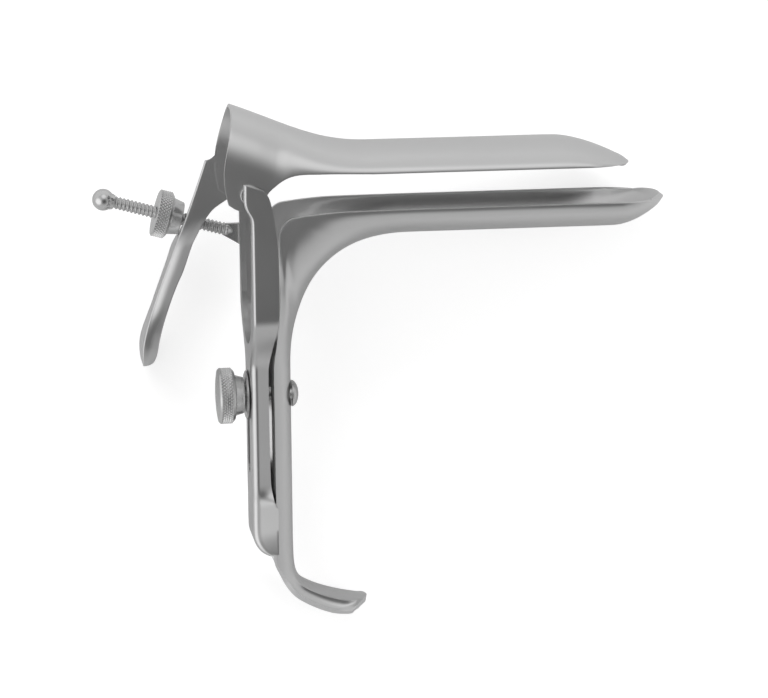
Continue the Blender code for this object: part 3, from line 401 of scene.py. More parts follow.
def bore(radius, axis, at, steps=32, end=3.0):
    """A cutter for a round hole; it starts 3 mm before a place and ends beyond it."""
    start = -3.0
    profile = [(start, 0.0), (start, radius), (end, radius), (end, 0.0)]
    return placed(turned("bore", profile, steps), axis, at)


def show(name, mesh, material, body, node, sharp_deg=38.0):
    """Adds a piece that rides its body in its node's place, with real corners kept."""
    ob = bpy.data.objects.new(name, mesh)
    bpy.context.scene.collection.objects.link(ob)
    mesh.transform(Matrix.Scale(MM, 4))
    mesh.transform(INSTRUMENT)
    mesh.materials.clear()
    mesh.materials.append(material)
    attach(ob, body)
    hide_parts(node)
    mesh.shade_smooth()
    mesh.set_sharp_from_angle(angle=math.radians(sharp_deg))
    weighted = ob.modifiers.new("normals", "WEIGHTED_NORMAL")
    weighted.keep_sharp = True


# Section shapes, as in the CAD model
BULGE_SKEW = 1.6
RIM_FLARE = 1.25


def trough_profile(half_width, depth, power):
    """Pairs from rim to rim of a trough: distance from its middle and share of its depth."""
    flat = min(depth, half_width)
    quarter = []
    for i in range(PROFILE_STEPS + 1):
        a = 0.5 * math.pi * i / PROFILE_STEPS
        across = half_width * math.sin(a) ** (2.0 / power)
        quarter.append((across, flat * (1.0 - math.cos(a) ** (2.0 / power)), 0.0))
    if depth > flat:
        quarter.append((half_width, depth, 0.0))
    half = resample(quarter, COLUMNS // 2 + 1)
    mirrored = [(-p[0], p[1] / depth) for p in reversed(half)]
    return mirrored + [(p[0], p[1] / depth) for p in half[1:]]


def ruled_row(spine, rim, half_width, power, bulge=0.0, lean=0.0, rim_width=None):
    """A section ruled from its spine to its rim; lean opens its walls, rim_width flares them."""
    depth = float(np.linalg.norm(rim - spine))
    row = []
    for across, down in trough_profile(half_width, depth, power):
        down = mix(down, (across / half_width) ** 2, lean)
        if rim_width:
            across *= mix(1.0, rim_width / half_width, smooth(RIM_FLARE * down))
        p = spine + (rim - spine) * down
        out = bulge * math.sin(math.pi * down ** BULGE_SKEW)
        row.append(np.array((p[0] - out, across, p[2])))
    return row


def spoon_tip(tip_x, tip_length, rim_z, depth, power, sign, crown_at):
    """Rows of the rounded end of a blade, each point on the spoon's own surface."""
    start = tip_x - tip_length
    profile = trough_profile(BLADE_HALF_WIDTH, depth, power)
    rows = []
    for k in range(1, TIP_ROWS + 1):
        tau = k / TIP_ROWS
        narrow = math.cos(0.25 * math.pi * tau)
        row = []
        for across, down in profile:
            y = across * narrow
            side = (abs(across) / BLADE_HALF_WIDTH) ** mix(8.0, 2.0, tau)
            reach = math.sqrt(max(0.0, 1.0 - (y / BLADE_HALF_WIDTH) ** 2)) * mix(tau, 1.0, side)
            width = BLADE_HALF_WIDTH * math.sqrt(max(1e-6, 1.0 - reach ** 2))
            x = start + tip_length * reach
            share = min(abs(y) / width, 1.0)
            arch = mix((1.0 - share ** power) ** (1.0 / power), 1.0 - share ** 2, BLADE_LEAN)
            rise = depth * crown_at(x) * arch
            row.append(np.array((x, y, rim_z + sign * (rise if tau < 1.0 else 0.0))))
        rows.append(row)
    return rows


# Lower blade: a trough that turns down into the neck, the channel handle and its foot
LOWER_POWER = 2.3
LOWER_TIP_X = 116.6
LOWER_TIP_LENGTH = 14.5
LOWER_RIM_Z = -5.1
TROUGH_DEPTH = 7.9
TROUGH_FLOOR_Z = LOWER_RIM_Z - TROUGH_DEPTH
TROUGH_FALL = 0.92
TROUGH_FALL_POWER = 1.8
LOWER_EDGE_R = 0.5
NECK_ROWS = 21
NECK_START_X = 46.0
NECK_END_Z = -48.0
NECK_EDGE_X = 10.5
NECK_PULL_X = 20.0
NECK_PULL_Z = 23.0
NECK_RIM_RISE = 27.0
THROAT_RADIUS = 5.0
THROAT_DROP = 1.2
HANDLE_BACK_X = 14.5
HANDLE_DEPTH = 5.1
HANDLE_EDGE_X = HANDLE_BACK_X - HANDLE_DEPTH
HANDLE_END_Z = -97.0
HANDLE_POWER = 2.7
HANDLE_FLATTENING = 0.8
FOOT_ROWS = 25
FOOT_END_ROUND = 0.14
CREASE_AT = 0.58
CREASE_DEPTH = 0.34
CREASE_WIDTH = 0.78
CREASE_FLARE = 2.6

# The foot's back and its free edges, from where they leave the handle
FOOT_BACK = ((0.0, 0.0), (0.2, -6.0), (0.8, -9.0), (2.1, -11.0), (5.0, -12.7), (8.9, -14.2),
             (14.2, -15.7), (20.2, -16.9))
FOOT_FREE = ((0.0, 0.0), (0.1, -5.0), (2.0, -8.8), (4.1, -11.9), (6.2, -14.2), (10.3, -16.8),
             (14.5, -18.6), (18.6, -19.5), (21.6, -19.2), (25.0, -17.3))


def spine_and_rim(row):
    """The middle point of a section and the point midway between its two rims."""
    rim = 0.5 * (row[0] + row[-1])
    rim[1] = 0.0
    return row[len(row) // 2], rim


def flattened(row, half_width, share, rim_width=None):
    """A section moved part of the way to a shallow curve with sides that lean out."""
    rim_width = rim_width or half_width
    middle = len(row) // 2
    spine, rim = spine_and_rim(row)
    out = []
    for i, p in enumerate(row):
        s = (i - middle) / middle
        flat = spine + (rim - spine) * s * s
        flat[1] = s * mix(half_width, rim_width, s * s)
        out.append(p + (flat - p) * share)
    return out


def creased(row, half_width, share):
    """A section moved part of the way to the foot's: a curved back, a crease and a flared edge."""
    middle = len(row) // 2
    spine, rim = spine_and_rim(row)
    out = []
    for i, p in enumerate(row):
        s = abs(i - middle) / middle
        if s < CREASE_AT:
            down = CREASE_DEPTH * (s / CREASE_AT) ** 2
            wide = CREASE_WIDTH * s / CREASE_AT
        else:
            u = (s - CREASE_AT) / (1.0 - CREASE_AT)
            down = mix(CREASE_DEPTH, 1.0, u)
            wide = mix(CREASE_WIDTH, 1.0, u ** CREASE_FLARE)
        target = spine + (rim - spine) * down
        target[1] = math.copysign(half_width * wide, i - middle)
        out.append(p + (target - p) * share)
    return out


def foot_row(back, free, t):
    """A section of the foot; its sides stop short of its middle, which rounds the end."""
    middle = COLUMNS // 2
    width = HANDLE_HALF_WIDTH
    end_round = FOOT_END_ROUND * rising(t, 0.5, 0.5)
    crease_left = 1.0 - rising(t, 0.84, 0.15)
    row = []
    for i in range(COLUMNS + 1):
        s = abs(i - middle) / middle
        own = t - end_round * s * s
        section = ruled_row(point_at(back, own), point_at(free, own), width, HANDLE_POWER)
        section = flattened(section, width, mix(HANDLE_FLATTENING, 1.0, rising(own, 0.2, 0.2)))
        crease = rising(own, 0.2, 0.25) * crease_left
        row.append(creased(section, width, crease)[i])
    return row


def foot_rows():
    back = smooth_line([(HANDLE_BACK_X + x, HANDLE_END_Z + z) for x, z in FOOT_BACK], FOOT_ROWS)
    free = smooth_line([(HANDLE_EDGE_X + x, HANDLE_END_Z + z) for x, z in FOOT_FREE], FOOT_ROWS)
    return [foot_row(back, free, k / (FOOT_ROWS - 1)) for k in range(FOOT_ROWS - 1, -1, -1)]


def handle_rows():
    rows = []
    for share in (0.33, 0.67):
        z = mix(HANDLE_END_Z, NECK_END_Z, share)
        back = np.array((HANDLE_BACK_X, 0.0, z))
        edge = np.array((HANDLE_EDGE_X, 0.0, z))
        row = ruled_row(back, edge, HANDLE_HALF_WIDTH, HANDLE_POWER)
        rows.append(flattened(row, HANDLE_HALF_WIDTH, HANDLE_FLATTENING))
    return rows


def neck_edge():
    """The rim from the handle's top round the throat to the blade."""
    corner = (NECK_EDGE_X + THROAT_RADIUS, LOWER_RIM_Z - THROAT_RADIUS - THROAT_DROP)
    turn = arc(*corner, THROAT_RADIUS, 180.0, 94.0, 9)
    upright = [(HANDLE_EDGE_X, NECK_END_Z), (HANDLE_EDGE_X + 0.5, NECK_END_Z + 5.0),
               (NECK_EDGE_X, NECK_END_Z + 12.0), turn[0]]
    level = [turn[-1], (NECK_EDGE_X + 14.0, LOWER_RIM_Z - 0.25), (NECK_START_X, LOWER_RIM_Z)]
    return smooth_line(upright, 7)[:-1] + xz(turn) + smooth_line(level, 7)[1:]


def neck_rows():
    spine = bezier(((HANDLE_BACK_X, NECK_END_Z), (HANDLE_BACK_X, NECK_END_Z + NECK_PULL_Z),
                    (NECK_START_X - NECK_PULL_X, TROUGH_FLOOR_Z), (NECK_START_X, TROUGH_FLOOR_Z)))
    spine = resample(spine, NECK_ROWS)
    edge = neck_edge()
    rows = []
    for k in range(NECK_ROWS):
        t = k / (NECK_ROWS - 1)
        width = mix(HANDLE_HALF_WIDTH, BLADE_HALF_WIDTH, smooth(t / 0.62))
        rim_share = smooth((edge[k][2] - NECK_END_Z) / NECK_RIM_RISE)
        rim_width = mix(HANDLE_HALF_WIDTH, BLADE_HALF_WIDTH, rim_share)
        power = mix(HANDLE_POWER, LOWER_POWER, smooth(t / 0.55))
        lean = BLADE_LEAN * rising(t, 0.5, 0.5)
        row = ruled_row(spine[k], edge[k], width, power, lean=lean, rim_width=rim_width)
        flattening = HANDLE_FLATTENING * (1.0 - smooth(t / 0.32))
        rows.append(flattened(row, width, flattening, rim_width))
    return rows


def trough_left(x):
    """The share of the trough's depth that is left at x; it runs out in the tip."""
    into_tip = (x - (LOWER_TIP_X - LOWER_TIP_LENGTH)) / LOWER_TIP_LENGTH
    return 1.0 - TROUGH_FALL * max(0.0, into_tip) ** TROUGH_FALL_POWER


def lower_blade_rows():
    rows = []
    for k in range(1, 5):
        x = mix(NECK_START_X, LOWER_TIP_X - LOWER_TIP_LENGTH, k / 4)
        floor = np.array((x, 0.0, TROUGH_FLOOR_Z))
        rim = np.array((x, 0.0, LOWER_RIM_Z))
        rows.append(ruled_row(floor, rim, BLADE_HALF_WIDTH, LOWER_POWER, lean=BLADE_LEAN))
    return rows + spoon_tip(LOWER_TIP_X, LOWER_TIP_LENGTH, LOWER_RIM_Z, TROUGH_DEPTH, LOWER_POWER,
                            -1.0, trough_left)


def make_lower():
    rows = foot_rows() + handle_rows() + neck_rows() + lower_blade_rows()
    mesh = thick_sheet(grid_mesh("lower", refine(rows, ROWS_BETWEEN)), LOWER_SHEET, LOWER_EDGE_R)
    mesh = boolean(mesh, [bore(CLAMP_BORE_R, (1, 0, 0), (HANDLE_BACK_X, 0.0, CLAMP_Z), 40, 2.0)])
    show("lower_blade_sheet", mesh, SHEET_STEEL,
         "handle_and_lower_blade", "lower_blade")


# Upper blade: an arch that rises into the mouth and ends in two ears
UPPER_POWER = 2.15
UPPER_TIP_X = 106.8
UPPER_TIP_LENGTH = 13.0
UPPER_RIM_Z = 4.6
ARCH_HEIGHT = 7.1
CROWN_FALL_X = 87.0
CROWN_FALL = 0.95
CROWN_FALL_POWER = 1.6
UPPER_NECK_ROWS = 20
UPPER_NECK_END_X = 36.0
UPPER_EDGE_R = 0.36
MOUTH_BULGE = 1.7


def crown_fall(x):
    """The share of the arch's height that is left at x; it falls towards the tip."""
    beyond = max((x - CROWN_FALL_X) / (UPPER_TIP_X - CROWN_FALL_X), 0.0)
    return 1.0 - CROWN_FALL * beyond ** CROWN_FALL_POWER


def mouth_rows():
    crown_z = UPPER_RIM_Z + ARCH_HEIGHT
    crown = bezier(((-0.5, 22.2), (14.0, 17.0), (UPPER_NECK_END_X - 14.0, crown_z),
                    (UPPER_NECK_END_X, crown_z)))
    crown = resample(crown, UPPER_NECK_ROWS)
    edge = smooth_line([(-2.6, -2.6), (0.6, -4.3), (5.1, -3.6), (8.0, 0.5),
                        (13.5, UPPER_RIM_Z - 0.3), (21.1, UPPER_RIM_Z + 0.3),
                        (UPPER_NECK_END_X, UPPER_RIM_Z)], UPPER_NECK_ROWS)
    rows = []
    for k in range(UPPER_NECK_ROWS):
        t = k / (UPPER_NECK_ROWS - 1)
        width = mix(EAR_HALF_WIDTH, BLADE_HALF_WIDTH, rising(t, 0.3, 0.5))
        bulge = MOUTH_BULGE * (1.0 - t) ** 3
        lean = BLADE_LEAN * rising(t, 0.35, 0.5)
        rows.append(ruled_row(crown[k], edge[k], width, UPPER_POWER, bulge, lean))
    return rows


def upper_blade_rows():
    tip_start = UPPER_TIP_X - UPPER_TIP_LENGTH
    places = [mix(UPPER_NECK_END_X, CROWN_FALL_X, share) for share in (0.33, 0.67)]
    places += [CROWN_FALL_X, mix(CROWN_FALL_X, tip_start, 0.5), tip_start]
    rows = []
    for x in places:
        top = np.array((x, 0.0, UPPER_RIM_Z + ARCH_HEIGHT * crown_fall(x)))
        rim = np.array((x, 0.0, UPPER_RIM_Z))
        rows.append(ruled_row(top, rim, BLADE_HALF_WIDTH, UPPER_POWER, lean=BLADE_LEAN))
    return rows + spoon_tip(UPPER_TIP_X, UPPER_TIP_LENGTH, UPPER_RIM_Z, ARCH_HEIGHT, UPPER_POWER,
                            1.0, crown_fall)


# Thumb lever: a flange on the near ear, folded along a web that widens into the thumb pad
LEVER_TOP = (-6.2, 5.8)
LEVER_END = (-25.2, -50.6)
LEVER_BOW = 1.4
LEVER_END_TURN = 1.2
LEVER_END_PUSH = 1.7
LEVER_END_FROM = 0.86
LEVER_ROUND_FROM = 0.88
LEVER_ROUND_POWER = 2.4
LEVER_FLANGE_ROUND = 0.55
LEVER_PAD_ROUND = 0.30
LEVER_FOLD_SLOPES = (0.46, 0.05)
LEVER_EDGE_SLOPES = (0.14, -0.25)
LEVER_FLANGE = 4.5
LEVER_WAIST = 0.5
LEVER_FLARE = 0.25
LEVER_TOP_WIDTH = 9.6
LEVER_WAIST_WIDTH = 7.0
LEVER_PAD_WIDTH = 14.5
LEVER_CORNER_R = 0.6
LEVER_PAD_CORNER_R = 0.3
LEVER_INNER_CORNER_R = 0.1
LEVER_EDGE_R = 0.2
LEVER_WEB_LEAN = 0.13
LEVER_TOP_FALL = 0.24
LEVER_TOP_FILLET = 2.6
LEVER_SEAT = 0.03
LEVER_SLOT = (5.4, 2.1)
SLOT_SEARCH = 800

# The flange's free edge beside the mouth, and the stations of the lever from top to end
FREE_EDGE = ((2.2, 6.0), (2.0, -2.6), (-0.8, -5.4), (-3.2, -6.8), (-5.6, -9.3), (-7.6, -12.4),
             (-10.1, -17.0))
FREE_EDGE_STATIONS = (0.0, 0.05, 0.10, 0.15, 0.19, 0.23, 0.27, 0.31, 0.35, 0.39, 0.43)
PAD_STATIONS = (0.50, 0.57, 0.64, 0.71, 0.78, 0.85, 0.90, 0.94, 0.97, 0.99, 1.0)


def into_end(t):
    """How far t is into the lever's end, from 0 to 1, growing ever faster."""
    return max(0.0, (t - LEVER_END_FROM) / (1.0 - LEVER_END_FROM)) ** 2


def lever_point(t):
    """The web's line: nearly straight, slightly bowed, turned back at its end."""
    bow = LEVER_BOW * math.sin(math.pi * t * t) - LEVER_END_TURN * into_end(t)
    x = mix(LEVER_TOP[0], LEVER_END[0], t) - bow
    return np.array((x, 0.0, mix(LEVER_TOP[1], LEVER_END[1], t)))


def lever_width(t):
    waist = mix(LEVER_TOP_WIDTH, LEVER_WAIST_WIDTH, rising(t, 0.38, 0.16))
    return mix(waist, LEVER_PAD_WIDTH, rising(t, 0.67, 0.26))


def lever_row(t, free_edge, inset):
    """A section of the lever: across the web, round the fold and out over the flange."""
    outer_web = lever_point(t)
    way = lever_point(min(t + 0.01, 1.0)) - lever_point(max(t - 0.01, 0.0))
    way = way / np.linalg.norm(way)
    across = np.array((-way[2], 0.0, way[0]))
    web = outer_web + across * inset
    end = max(0.0, (t - LEVER_ROUND_FROM) / (1.0 - LEVER_ROUND_FROM))
    round_off = 1.0 - math.sqrt(max(0.0, 1.0 - end ** LEVER_ROUND_POWER))
    flange = (LEVER_FLANGE - LEVER_WAIST * rising(t, 0.43, 0.2)
              + LEVER_FLARE * rising(t, 0.7, 0.2))
    if free_edge is None:
        edge = outer_web + across * flange * (1.0 - LEVER_FLANGE_ROUND * round_off)
    else:
        edge = free_edge
    toward = (edge - web) / np.linalg.norm(edge - web)

    pad = rising(t, 0.28, 0.2)
    low = rising(t, 0.66, 0.2)
    lean = mix(LEVER_WEB_LEAN, 0.0, rising(t, 0.30, 0.14))
    fold_slope = pad * mix(*LEVER_FOLD_SLOPES, low)
    edge_slope = pad * mix(*LEVER_EDGE_SLOPES, low)
    corner = LEVER_INNER_CORNER_R if inset else mix(LEVER_CORNER_R, LEVER_PAD_CORNER_R, pad)
    fillet = LEVER_TOP_FILLET if t == 0.0 else 0.0
    top_fall = LEVER_TOP_FALL * (1.0 - smooth(t / 0.12))
    near_y = EAR_HALF_WIDTH - UPPER_SHEET + LEVER_SEAT + LEVER_END_PUSH * into_end(t)
    far_y = near_y + lever_width(t) * (1.0 - LEVER_PAD_ROUND * round_off)
    near_y += inset

    row = []
    for i in range(WEB_STEPS + 1):
        y = mix(near_y + corner, far_y, 1.0 - 0.9 * i / WEB_STEPS)
        deep = y - near_y
        p = web + across * lean * deep + way * top_fall * deep
        row.append(np.array((p[0], y, p[2])))
    for i in range(FOLD_STEPS + 1):
        a = math.radians(90.0 * i / FOLD_STEPS)
        deep = corner * (1.0 - math.sin(a))
        p = web + toward * corner * (1.0 - math.cos(a)) + across * lean * deep
        row.append(np.array((p[0], near_y + deep, p[2])))
    rise = 0.0
    fold = web + toward * corner
    for i in range(1, FLANGE_STEPS + 1):
        s = i / FLANGE_STEPS
        p = fold + (edge - fold) * s
        rise += flange / FLANGE_STEPS * mix(fold_slope, edge_slope, smooth(s / 0.68))
        row.append(np.array((p[0], near_y - rise, p[2] + fillet * smooth(s / 0.55))))
    return row


def lever_rows(inset):
    free_edge = smooth_line(FREE_EDGE, len(FREE_EDGE_STATIONS))
    rows = [lever_row(t, point, inset) for t, point in zip(FREE_EDGE_STATIONS, free_edge)]
    rows += [lever_row(t, None, inset) for t in PAD_STATIONS]
    return refine(rows, ROWS_BETWEEN)


def slot_centre():
    """Where the rod's line crosses the web."""
    for i in range(SLOT_SEARCH + 1):
        p = lever_point(i / SLOT_SEARCH)
        if p[2] <= ROD_EYE[2] + (ROD_EYE[0] - p[0]) * math.tan(ROD_TILT):
            return Vector((p[0], ROD_EYE[1], p[2]))


def make_upper():
    rows = refine(mouth_rows() + upper_blade_rows(), ROWS_BETWEEN)
    blade = thick_sheet(grid_mesh("upper", rows, flip=True), UPPER_SHEET, UPPER_EDGE_R)
    lever = shell_mesh("lever", lever_rows(0.0), lever_rows(UPPER_SHEET))
    mesh = boolean(blade, [eased_edges(lever, LEVER_EDGE_R)], "UNION")
    tools = []
    for side in (-1.0, 1.0):
        tools.append(bore(HINGE_BORE_R, (0, 1, 0), (HINGE_X, side * EAR_HALF_WIDTH, 0.0)))
    slot = prism(slot_outline(*LEVER_SLOT), -5.0, 5.0, "X")
    slot.transform(Matrix.Translation(slot_centre()) @ Matrix.Rotation(ROD_TILT, 4, "Y"))
    tools.append(slot)
    show("upper_blade_sheet", boolean(mesh, tools), SHEET_STEEL,
         "upper_blade_and_lever", "upper_blade")


# Yoke: two arms beside the ears, shoulders, cheeks beside the handle, and a closed shoe
YOKE_FRONT_X = 3.0
YOKE_TOP = 3.0
TAB_X = YOKE_FRONT_X - 1.9
ARM_HALF_WIDTH = 17.0
PLATE_HALF_WIDTH = 7.4
CHEEK_CLOSING = 1.2
CHEEK_HALF_WIDTH = PLATE_HALF_WIDTH - CHEEK_CLOSING
SHOE_CLEARANCE = 0.3
SHOE_HALF_WIDTH = HANDLE_HALF_WIDTH + SHOE_CLEARANCE + YOKE_SHEET
SHOE_FRONT_ROUND = 1.4
SHOE_FRONT_HALF_WIDTH = SHOE_HALF_WIDTH - SHOE_FRONT_ROUND
SHOE_REAR_X = 9.7
SHOE_BOTTOM = -99.6
SHOE_CUP_Z = SHOE_BOTTOM + 6.5
SHOE_CUP_REACH = SHOE_REAR_X - YOKE_FRONT_X - 1.6
SHOULDER_TOP = -33.5
SHOULDER_END = -47.5
CHEEK_MIDDLE_Z = -65.3
STEP_Z = -82.3
CORNER_R = 0.8
LOW_CORNER_R = 1.7
YOKE_EDGE_R = 0.22

# Down an arm: x and drop from the top of its front edge, then the rear edge's distance behind
# YOKE_FRONT_X and its drop from the top
ARM_STATIONS = ((TAB_X, 0.0, 3.4, 1.7), (TAB_X, 1.6, 4.6, 3.6), (TAB_X, 4.8, 5.5, 7.0),
                (TAB_X + 0.4, 6.4, 5.8, 8.5), (YOKE_FRONT_X - 0.2, 8.9, 6.1, 10.8),
                (YOKE_FRONT_X, 11.5, 6.4, 13.3), (YOKE_FRONT_X, 16.5, 6.8, 18.0),
                (YOKE_FRONT_X, 27.0, 6.9, 27.5))

# The opening between the arms, and the slot for the stud
OPENING_SIDE = ((15.6, 9.0), (15.6, -4.2), (14.4, -7.0), (13.6, -22.0))
OPENING_BOWL_Z = -30.0
OPENING_BOWL_R = 12.0
CLAMP_SLOT = (14.2, 2.35)
CLAMP_SLOT_Z = -63.5


def level_station(z, depth, halves, corner=LOW_CORNER_R):
    """A station whose front and rear points lie at one height."""
    return (YOKE_FRONT_X, z), (YOKE_FRONT_X + depth, z), halves, corner


def yoke_sections():
    """Stations down the yoke: front point, rear edge point, front and rear half width, corner."""
    arms = (ARM_HALF_WIDTH, ARM_HALF_WIDTH)
    for x, down, depth, rear_down in ARM_STATIONS:
        yield (x, YOKE_TOP - down), (YOKE_FRONT_X + depth, YOKE_TOP - rear_down), arms, CORNER_R
    yield level_station(SHOULDER_TOP + 1.0, 6.7, arms, CORNER_R)
    for s in (0.10, 0.35, 0.65, 0.90):
        ease = mix(s, smooth(s), 0.6)
        halves = (mix(ARM_HALF_WIDTH, PLATE_HALF_WIDTH, ease),
                  mix(ARM_HALF_WIDTH, CHEEK_HALF_WIDTH, ease))
        yield level_station(SHOULDER_TOP + (SHOULDER_END - SHOULDER_TOP) * s, mix(6.6, 5.0, s),
                            halves, mix(CORNER_R, LOW_CORNER_R, s))
    cheeks = (PLATE_HALF_WIDTH, CHEEK_HALF_WIDTH)
    yield level_station(SHOULDER_END - 1.0, 4.9, cheeks)
    yield level_station(CHEEK_MIDDLE_Z, 4.9, cheeks)
    yield level_station(STEP_Z + 2.5, 5.1, cheeks)
    yield level_station(STEP_Z, 5.4, (mix(PLATE_HALF_WIDTH, SHOE_FRONT_HALF_WIDTH, 0.35),
                                      mix(CHEEK_HALF_WIDTH, SHOE_HALF_WIDTH, 0.4)))
    yield level_station(STEP_Z - 2.0, 5.8, (mix(PLATE_HALF_WIDTH, SHOE_FRONT_HALF_WIDTH, 0.95),
                                            mix(CHEEK_HALF_WIDTH, SHOE_HALF_WIDTH, 0.97)))
    shoe = (SHOE_FRONT_HALF_WIDTH, SHOE_HALF_WIDTH)
    yield (YOKE_FRONT_X, STEP_Z - 4.0), (SHOE_REAR_X, STEP_Z - 4.0), shoe, LOW_CORNER_R
    yield (YOKE_FRONT_X, SHOE_CUP_Z), (SHOE_REAR_X, SHOE_CUP_Z + 1.0), shoe, LOW_CORNER_R
    for deg in (20.0, 38.0, 54.0, 68.0, 80.0):
        a = math.radians(deg)
        front = (YOKE_FRONT_X + SHOE_CUP_REACH * (1.0 - math.cos(a)),
                 SHOE_CUP_Z + (SHOE_BOTTOM - SHOE_CUP_Z) * math.sin(a))
        rear_z = mix(SHOE_CUP_Z + 1.0, SHOE_BOTTOM + 0.6, smooth(0.15 + deg / 94.0))
        halves = (mix(SHOE_FRONT_HALF_WIDTH, SHOE_HALF_WIDTH, deg / 80.0), SHOE_HALF_WIDTH)
        yield front, (SHOE_REAR_X, rear_z), halves, LOW_CORNER_R


def yoke_row(front, rear, back, front_half, rear_half, radius):
    """A section of the yoke: a side, a rounded corner and half the front, then their mirror."""
    start = front + back * radius
    half = []
    for i in range(YOKE_SIDE_STEPS + 1):
        s = 1.0 - i / YOKE_SIDE_STEPS
        p = start + (rear - start) * s
        half.append(np.array((p[0], mix(front_half, rear_half, s), p[2])))
    for i in range(1, YOKE_CORNER_STEPS + 1):
        a = math.radians(90.0 * i / YOKE_CORNER_STEPS)
        p = front + back * radius * (1.0 - math.sin(a))
        half.append(np.array((p[0], front_half - radius * (1.0 - math.cos(a)), p[2])))
    for i in range(1, YOKE_FRONT_STEPS):
        y = (front_half - radius) * (1.0 - i / YOKE_FRONT_STEPS)
        half.append(np.array((front[0], y, front[2])))
    mirrored = [np.array((p[0], -p[1], p[2])) for p in reversed(half)]
    return half + [front] + mirrored


def yoke_rows(inset):
    sections = list(yoke_sections())
    fronts = [np.array((s[0][0], 0.0, s[0][1])) for s in sections]
    rows = []
    for k, (_, (rx, rz), (front_half, rear_half), radius) in enumerate(sections):
        low, high = max(k - 1, 0), min(k + 1, len(sections) - 1)
        run = np.linalg.norm(fronts[high] - fronts[low])
        way = (fronts[high] - fronts[low]) / run
        narrowing = (sections[low][2][0] - sections[high][2][0]) / run
        rear = np.array((rx, 0.0, rz))
        back = (rear - fronts[k]) / np.linalg.norm(rear - fronts[k])
        front = fronts[k] + np.array((-way[2], 0.0, way[0])) * inset
        front_half -= inset * math.sqrt(1.0 + narrowing ** 2)
        rear_half -= inset * math.sqrt(1.0 + narrowing ** 2)
        depth = float(np.dot(rear - front, back))
        radius = min(max(radius - inset, 0.15), 0.5 * depth)
        rows.append(yoke_row(front, rear, back, front_half, rear_half, radius))
    return refine(rows, ROWS_BETWEEN)


def make_yoke():
    """The yoke; its rivets are ground flush, so the arms are drawn unbroken outside."""
    mesh = shell_mesh("yoke", yoke_rows(0.0), yoke_rows(YOKE_SHEET))
    bowl = arc(0.0, OPENING_BOWL_Z, OPENING_BOWL_R, 0.0, -180.0, 40)
    other_side = [(-y, z) for y, z in reversed(OPENING_SIDE)]
    opening = prism(list(OPENING_SIDE) + bowl + other_side, -3.0, 6.0, "X")
    slot = prism(slot_outline(*CLAMP_SLOT), 1.0, 6.5, "X")
    slot.transform(Matrix.Translation(Vector((0.0, 0.0, CLAMP_SLOT_Z))))
    mesh = eased_edges(boolean(mesh, [opening, slot]), YOKE_EDGE_R)
    show("yoke_sheet", mesh, YOKE_STEEL, "yoke", "yoke_frame")


# Knurled nut and knob
KNURL_ROWS = 44
KNURL_DEPTH = 0.46
KNURL_LEAN = 5.6
KNURL_FADE = 0.06
POINTS_PER_TOOTH = 8
KNURL_SHARP_DEG = 22.0
NUT_TEETH = 44
NUT_FACE = 19.5
NUT_GRIP = (3.8, 6.9, 6.45)
KNOB_TEETH = 52
KNOB_SEAT_X = 1.8
KNOB_GRIP = (3.45, 6.45, 7.55)


def knurled(name, lead, grip, tail, teeth):
    """A turned body; its grip, from and to along the axis and radius, has a diamond knurl."""
    start, end, grip_radius = grip
    steps = teeth * POINTS_PER_TOOTH
    rings = [ring(x, radius, steps) for x, radius in lead]
    for i in range(KNURL_ROWS + 1):
        s = i / KNURL_ROWS
        x = mix(start, end, s)
        fade = smooth(min(s, 1.0 - s) / KNURL_FADE)
        points = []
        for k in range(steps):
            a = 2 * math.pi * k / steps
            u = teeth * a + KNURL_LEAN * (x - start)
            v = teeth * a - KNURL_LEAN * (x - start)
            height = min(abs(math.sin(0.5 * u)), abs(math.sin(0.5 * v)))
            radius = grip_radius - KNURL_DEPTH * (1.0 - height) * fade
            points.append((x, radius * math.cos(a), radius * math.sin(a)))
        rings.append(points)
    rings += [ring(x, radius, steps) for x, radius in tail]
    return turned_out(grid_mesh(name, rings, closed=True), MERGE)


def make_nut():
    """Knurled nut: collar towards the lever, plain bevels at the grip's ends."""
    lead = rounded([(3.1, 1.83), (0.25, 1.83), (0.0, 2.1), (0.0, 4.2), (0.25, 4.45), (2.8, 5.0),
                    (3.1, 5.2)], 0.12)
    lead += rounded([(3.1, 5.2), (3.1, 5.55), (3.75, 6.38)], 0.1)[1:]
    tail = rounded([(6.95, 6.38), (7.2, 6.05), (7.2, 2.2), (6.9, 1.83), (3.1, 1.83)], 0.12)
    mesh = knurled("nut", lead, NUT_GRIP, tail, NUT_TEETH)
    at = [ROD_EYE[i] + ROD_AXIS[i] * NUT_FACE for i in range(3)]
    show("lever_nut_knurled", placed(mesh, ROD_AXIS, at), KNURL_STEEL,
         "nut", "lever_nut", KNURL_SHARP_DEG)


def make_knob():
    """Knurled clamp knob with a stepped collar and a shallow domed end with a centre hole."""
    lead = rounded([(3.1, 2.08), (0.0, 2.08), (0.0, 4.65), (0.25, 4.9), (2.3, 5.5), (2.6, 5.8),
                    (2.6, 6.6), (3.4, 7.4)], 0.15)
    tail = rounded([(6.5, 7.5), (6.95, 7.1), (7.2, 5.6), (7.45, 3.0), (7.55, 0.8), (7.45, 0.7),
                    (6.7, 0.65), (6.6, 0.0)], 0.08)
    mesh = knurled("knob", lead, KNOB_GRIP, tail, KNOB_TEETH)
    show("clamp_knob_knurled", placed(mesh, (-1, 0, 0), (KNOB_SEAT_X, 0.0, CLAMP_Z)), KNURL_STEEL,
         "knob", "clamp_knob", KNURL_SHARP_DEG)


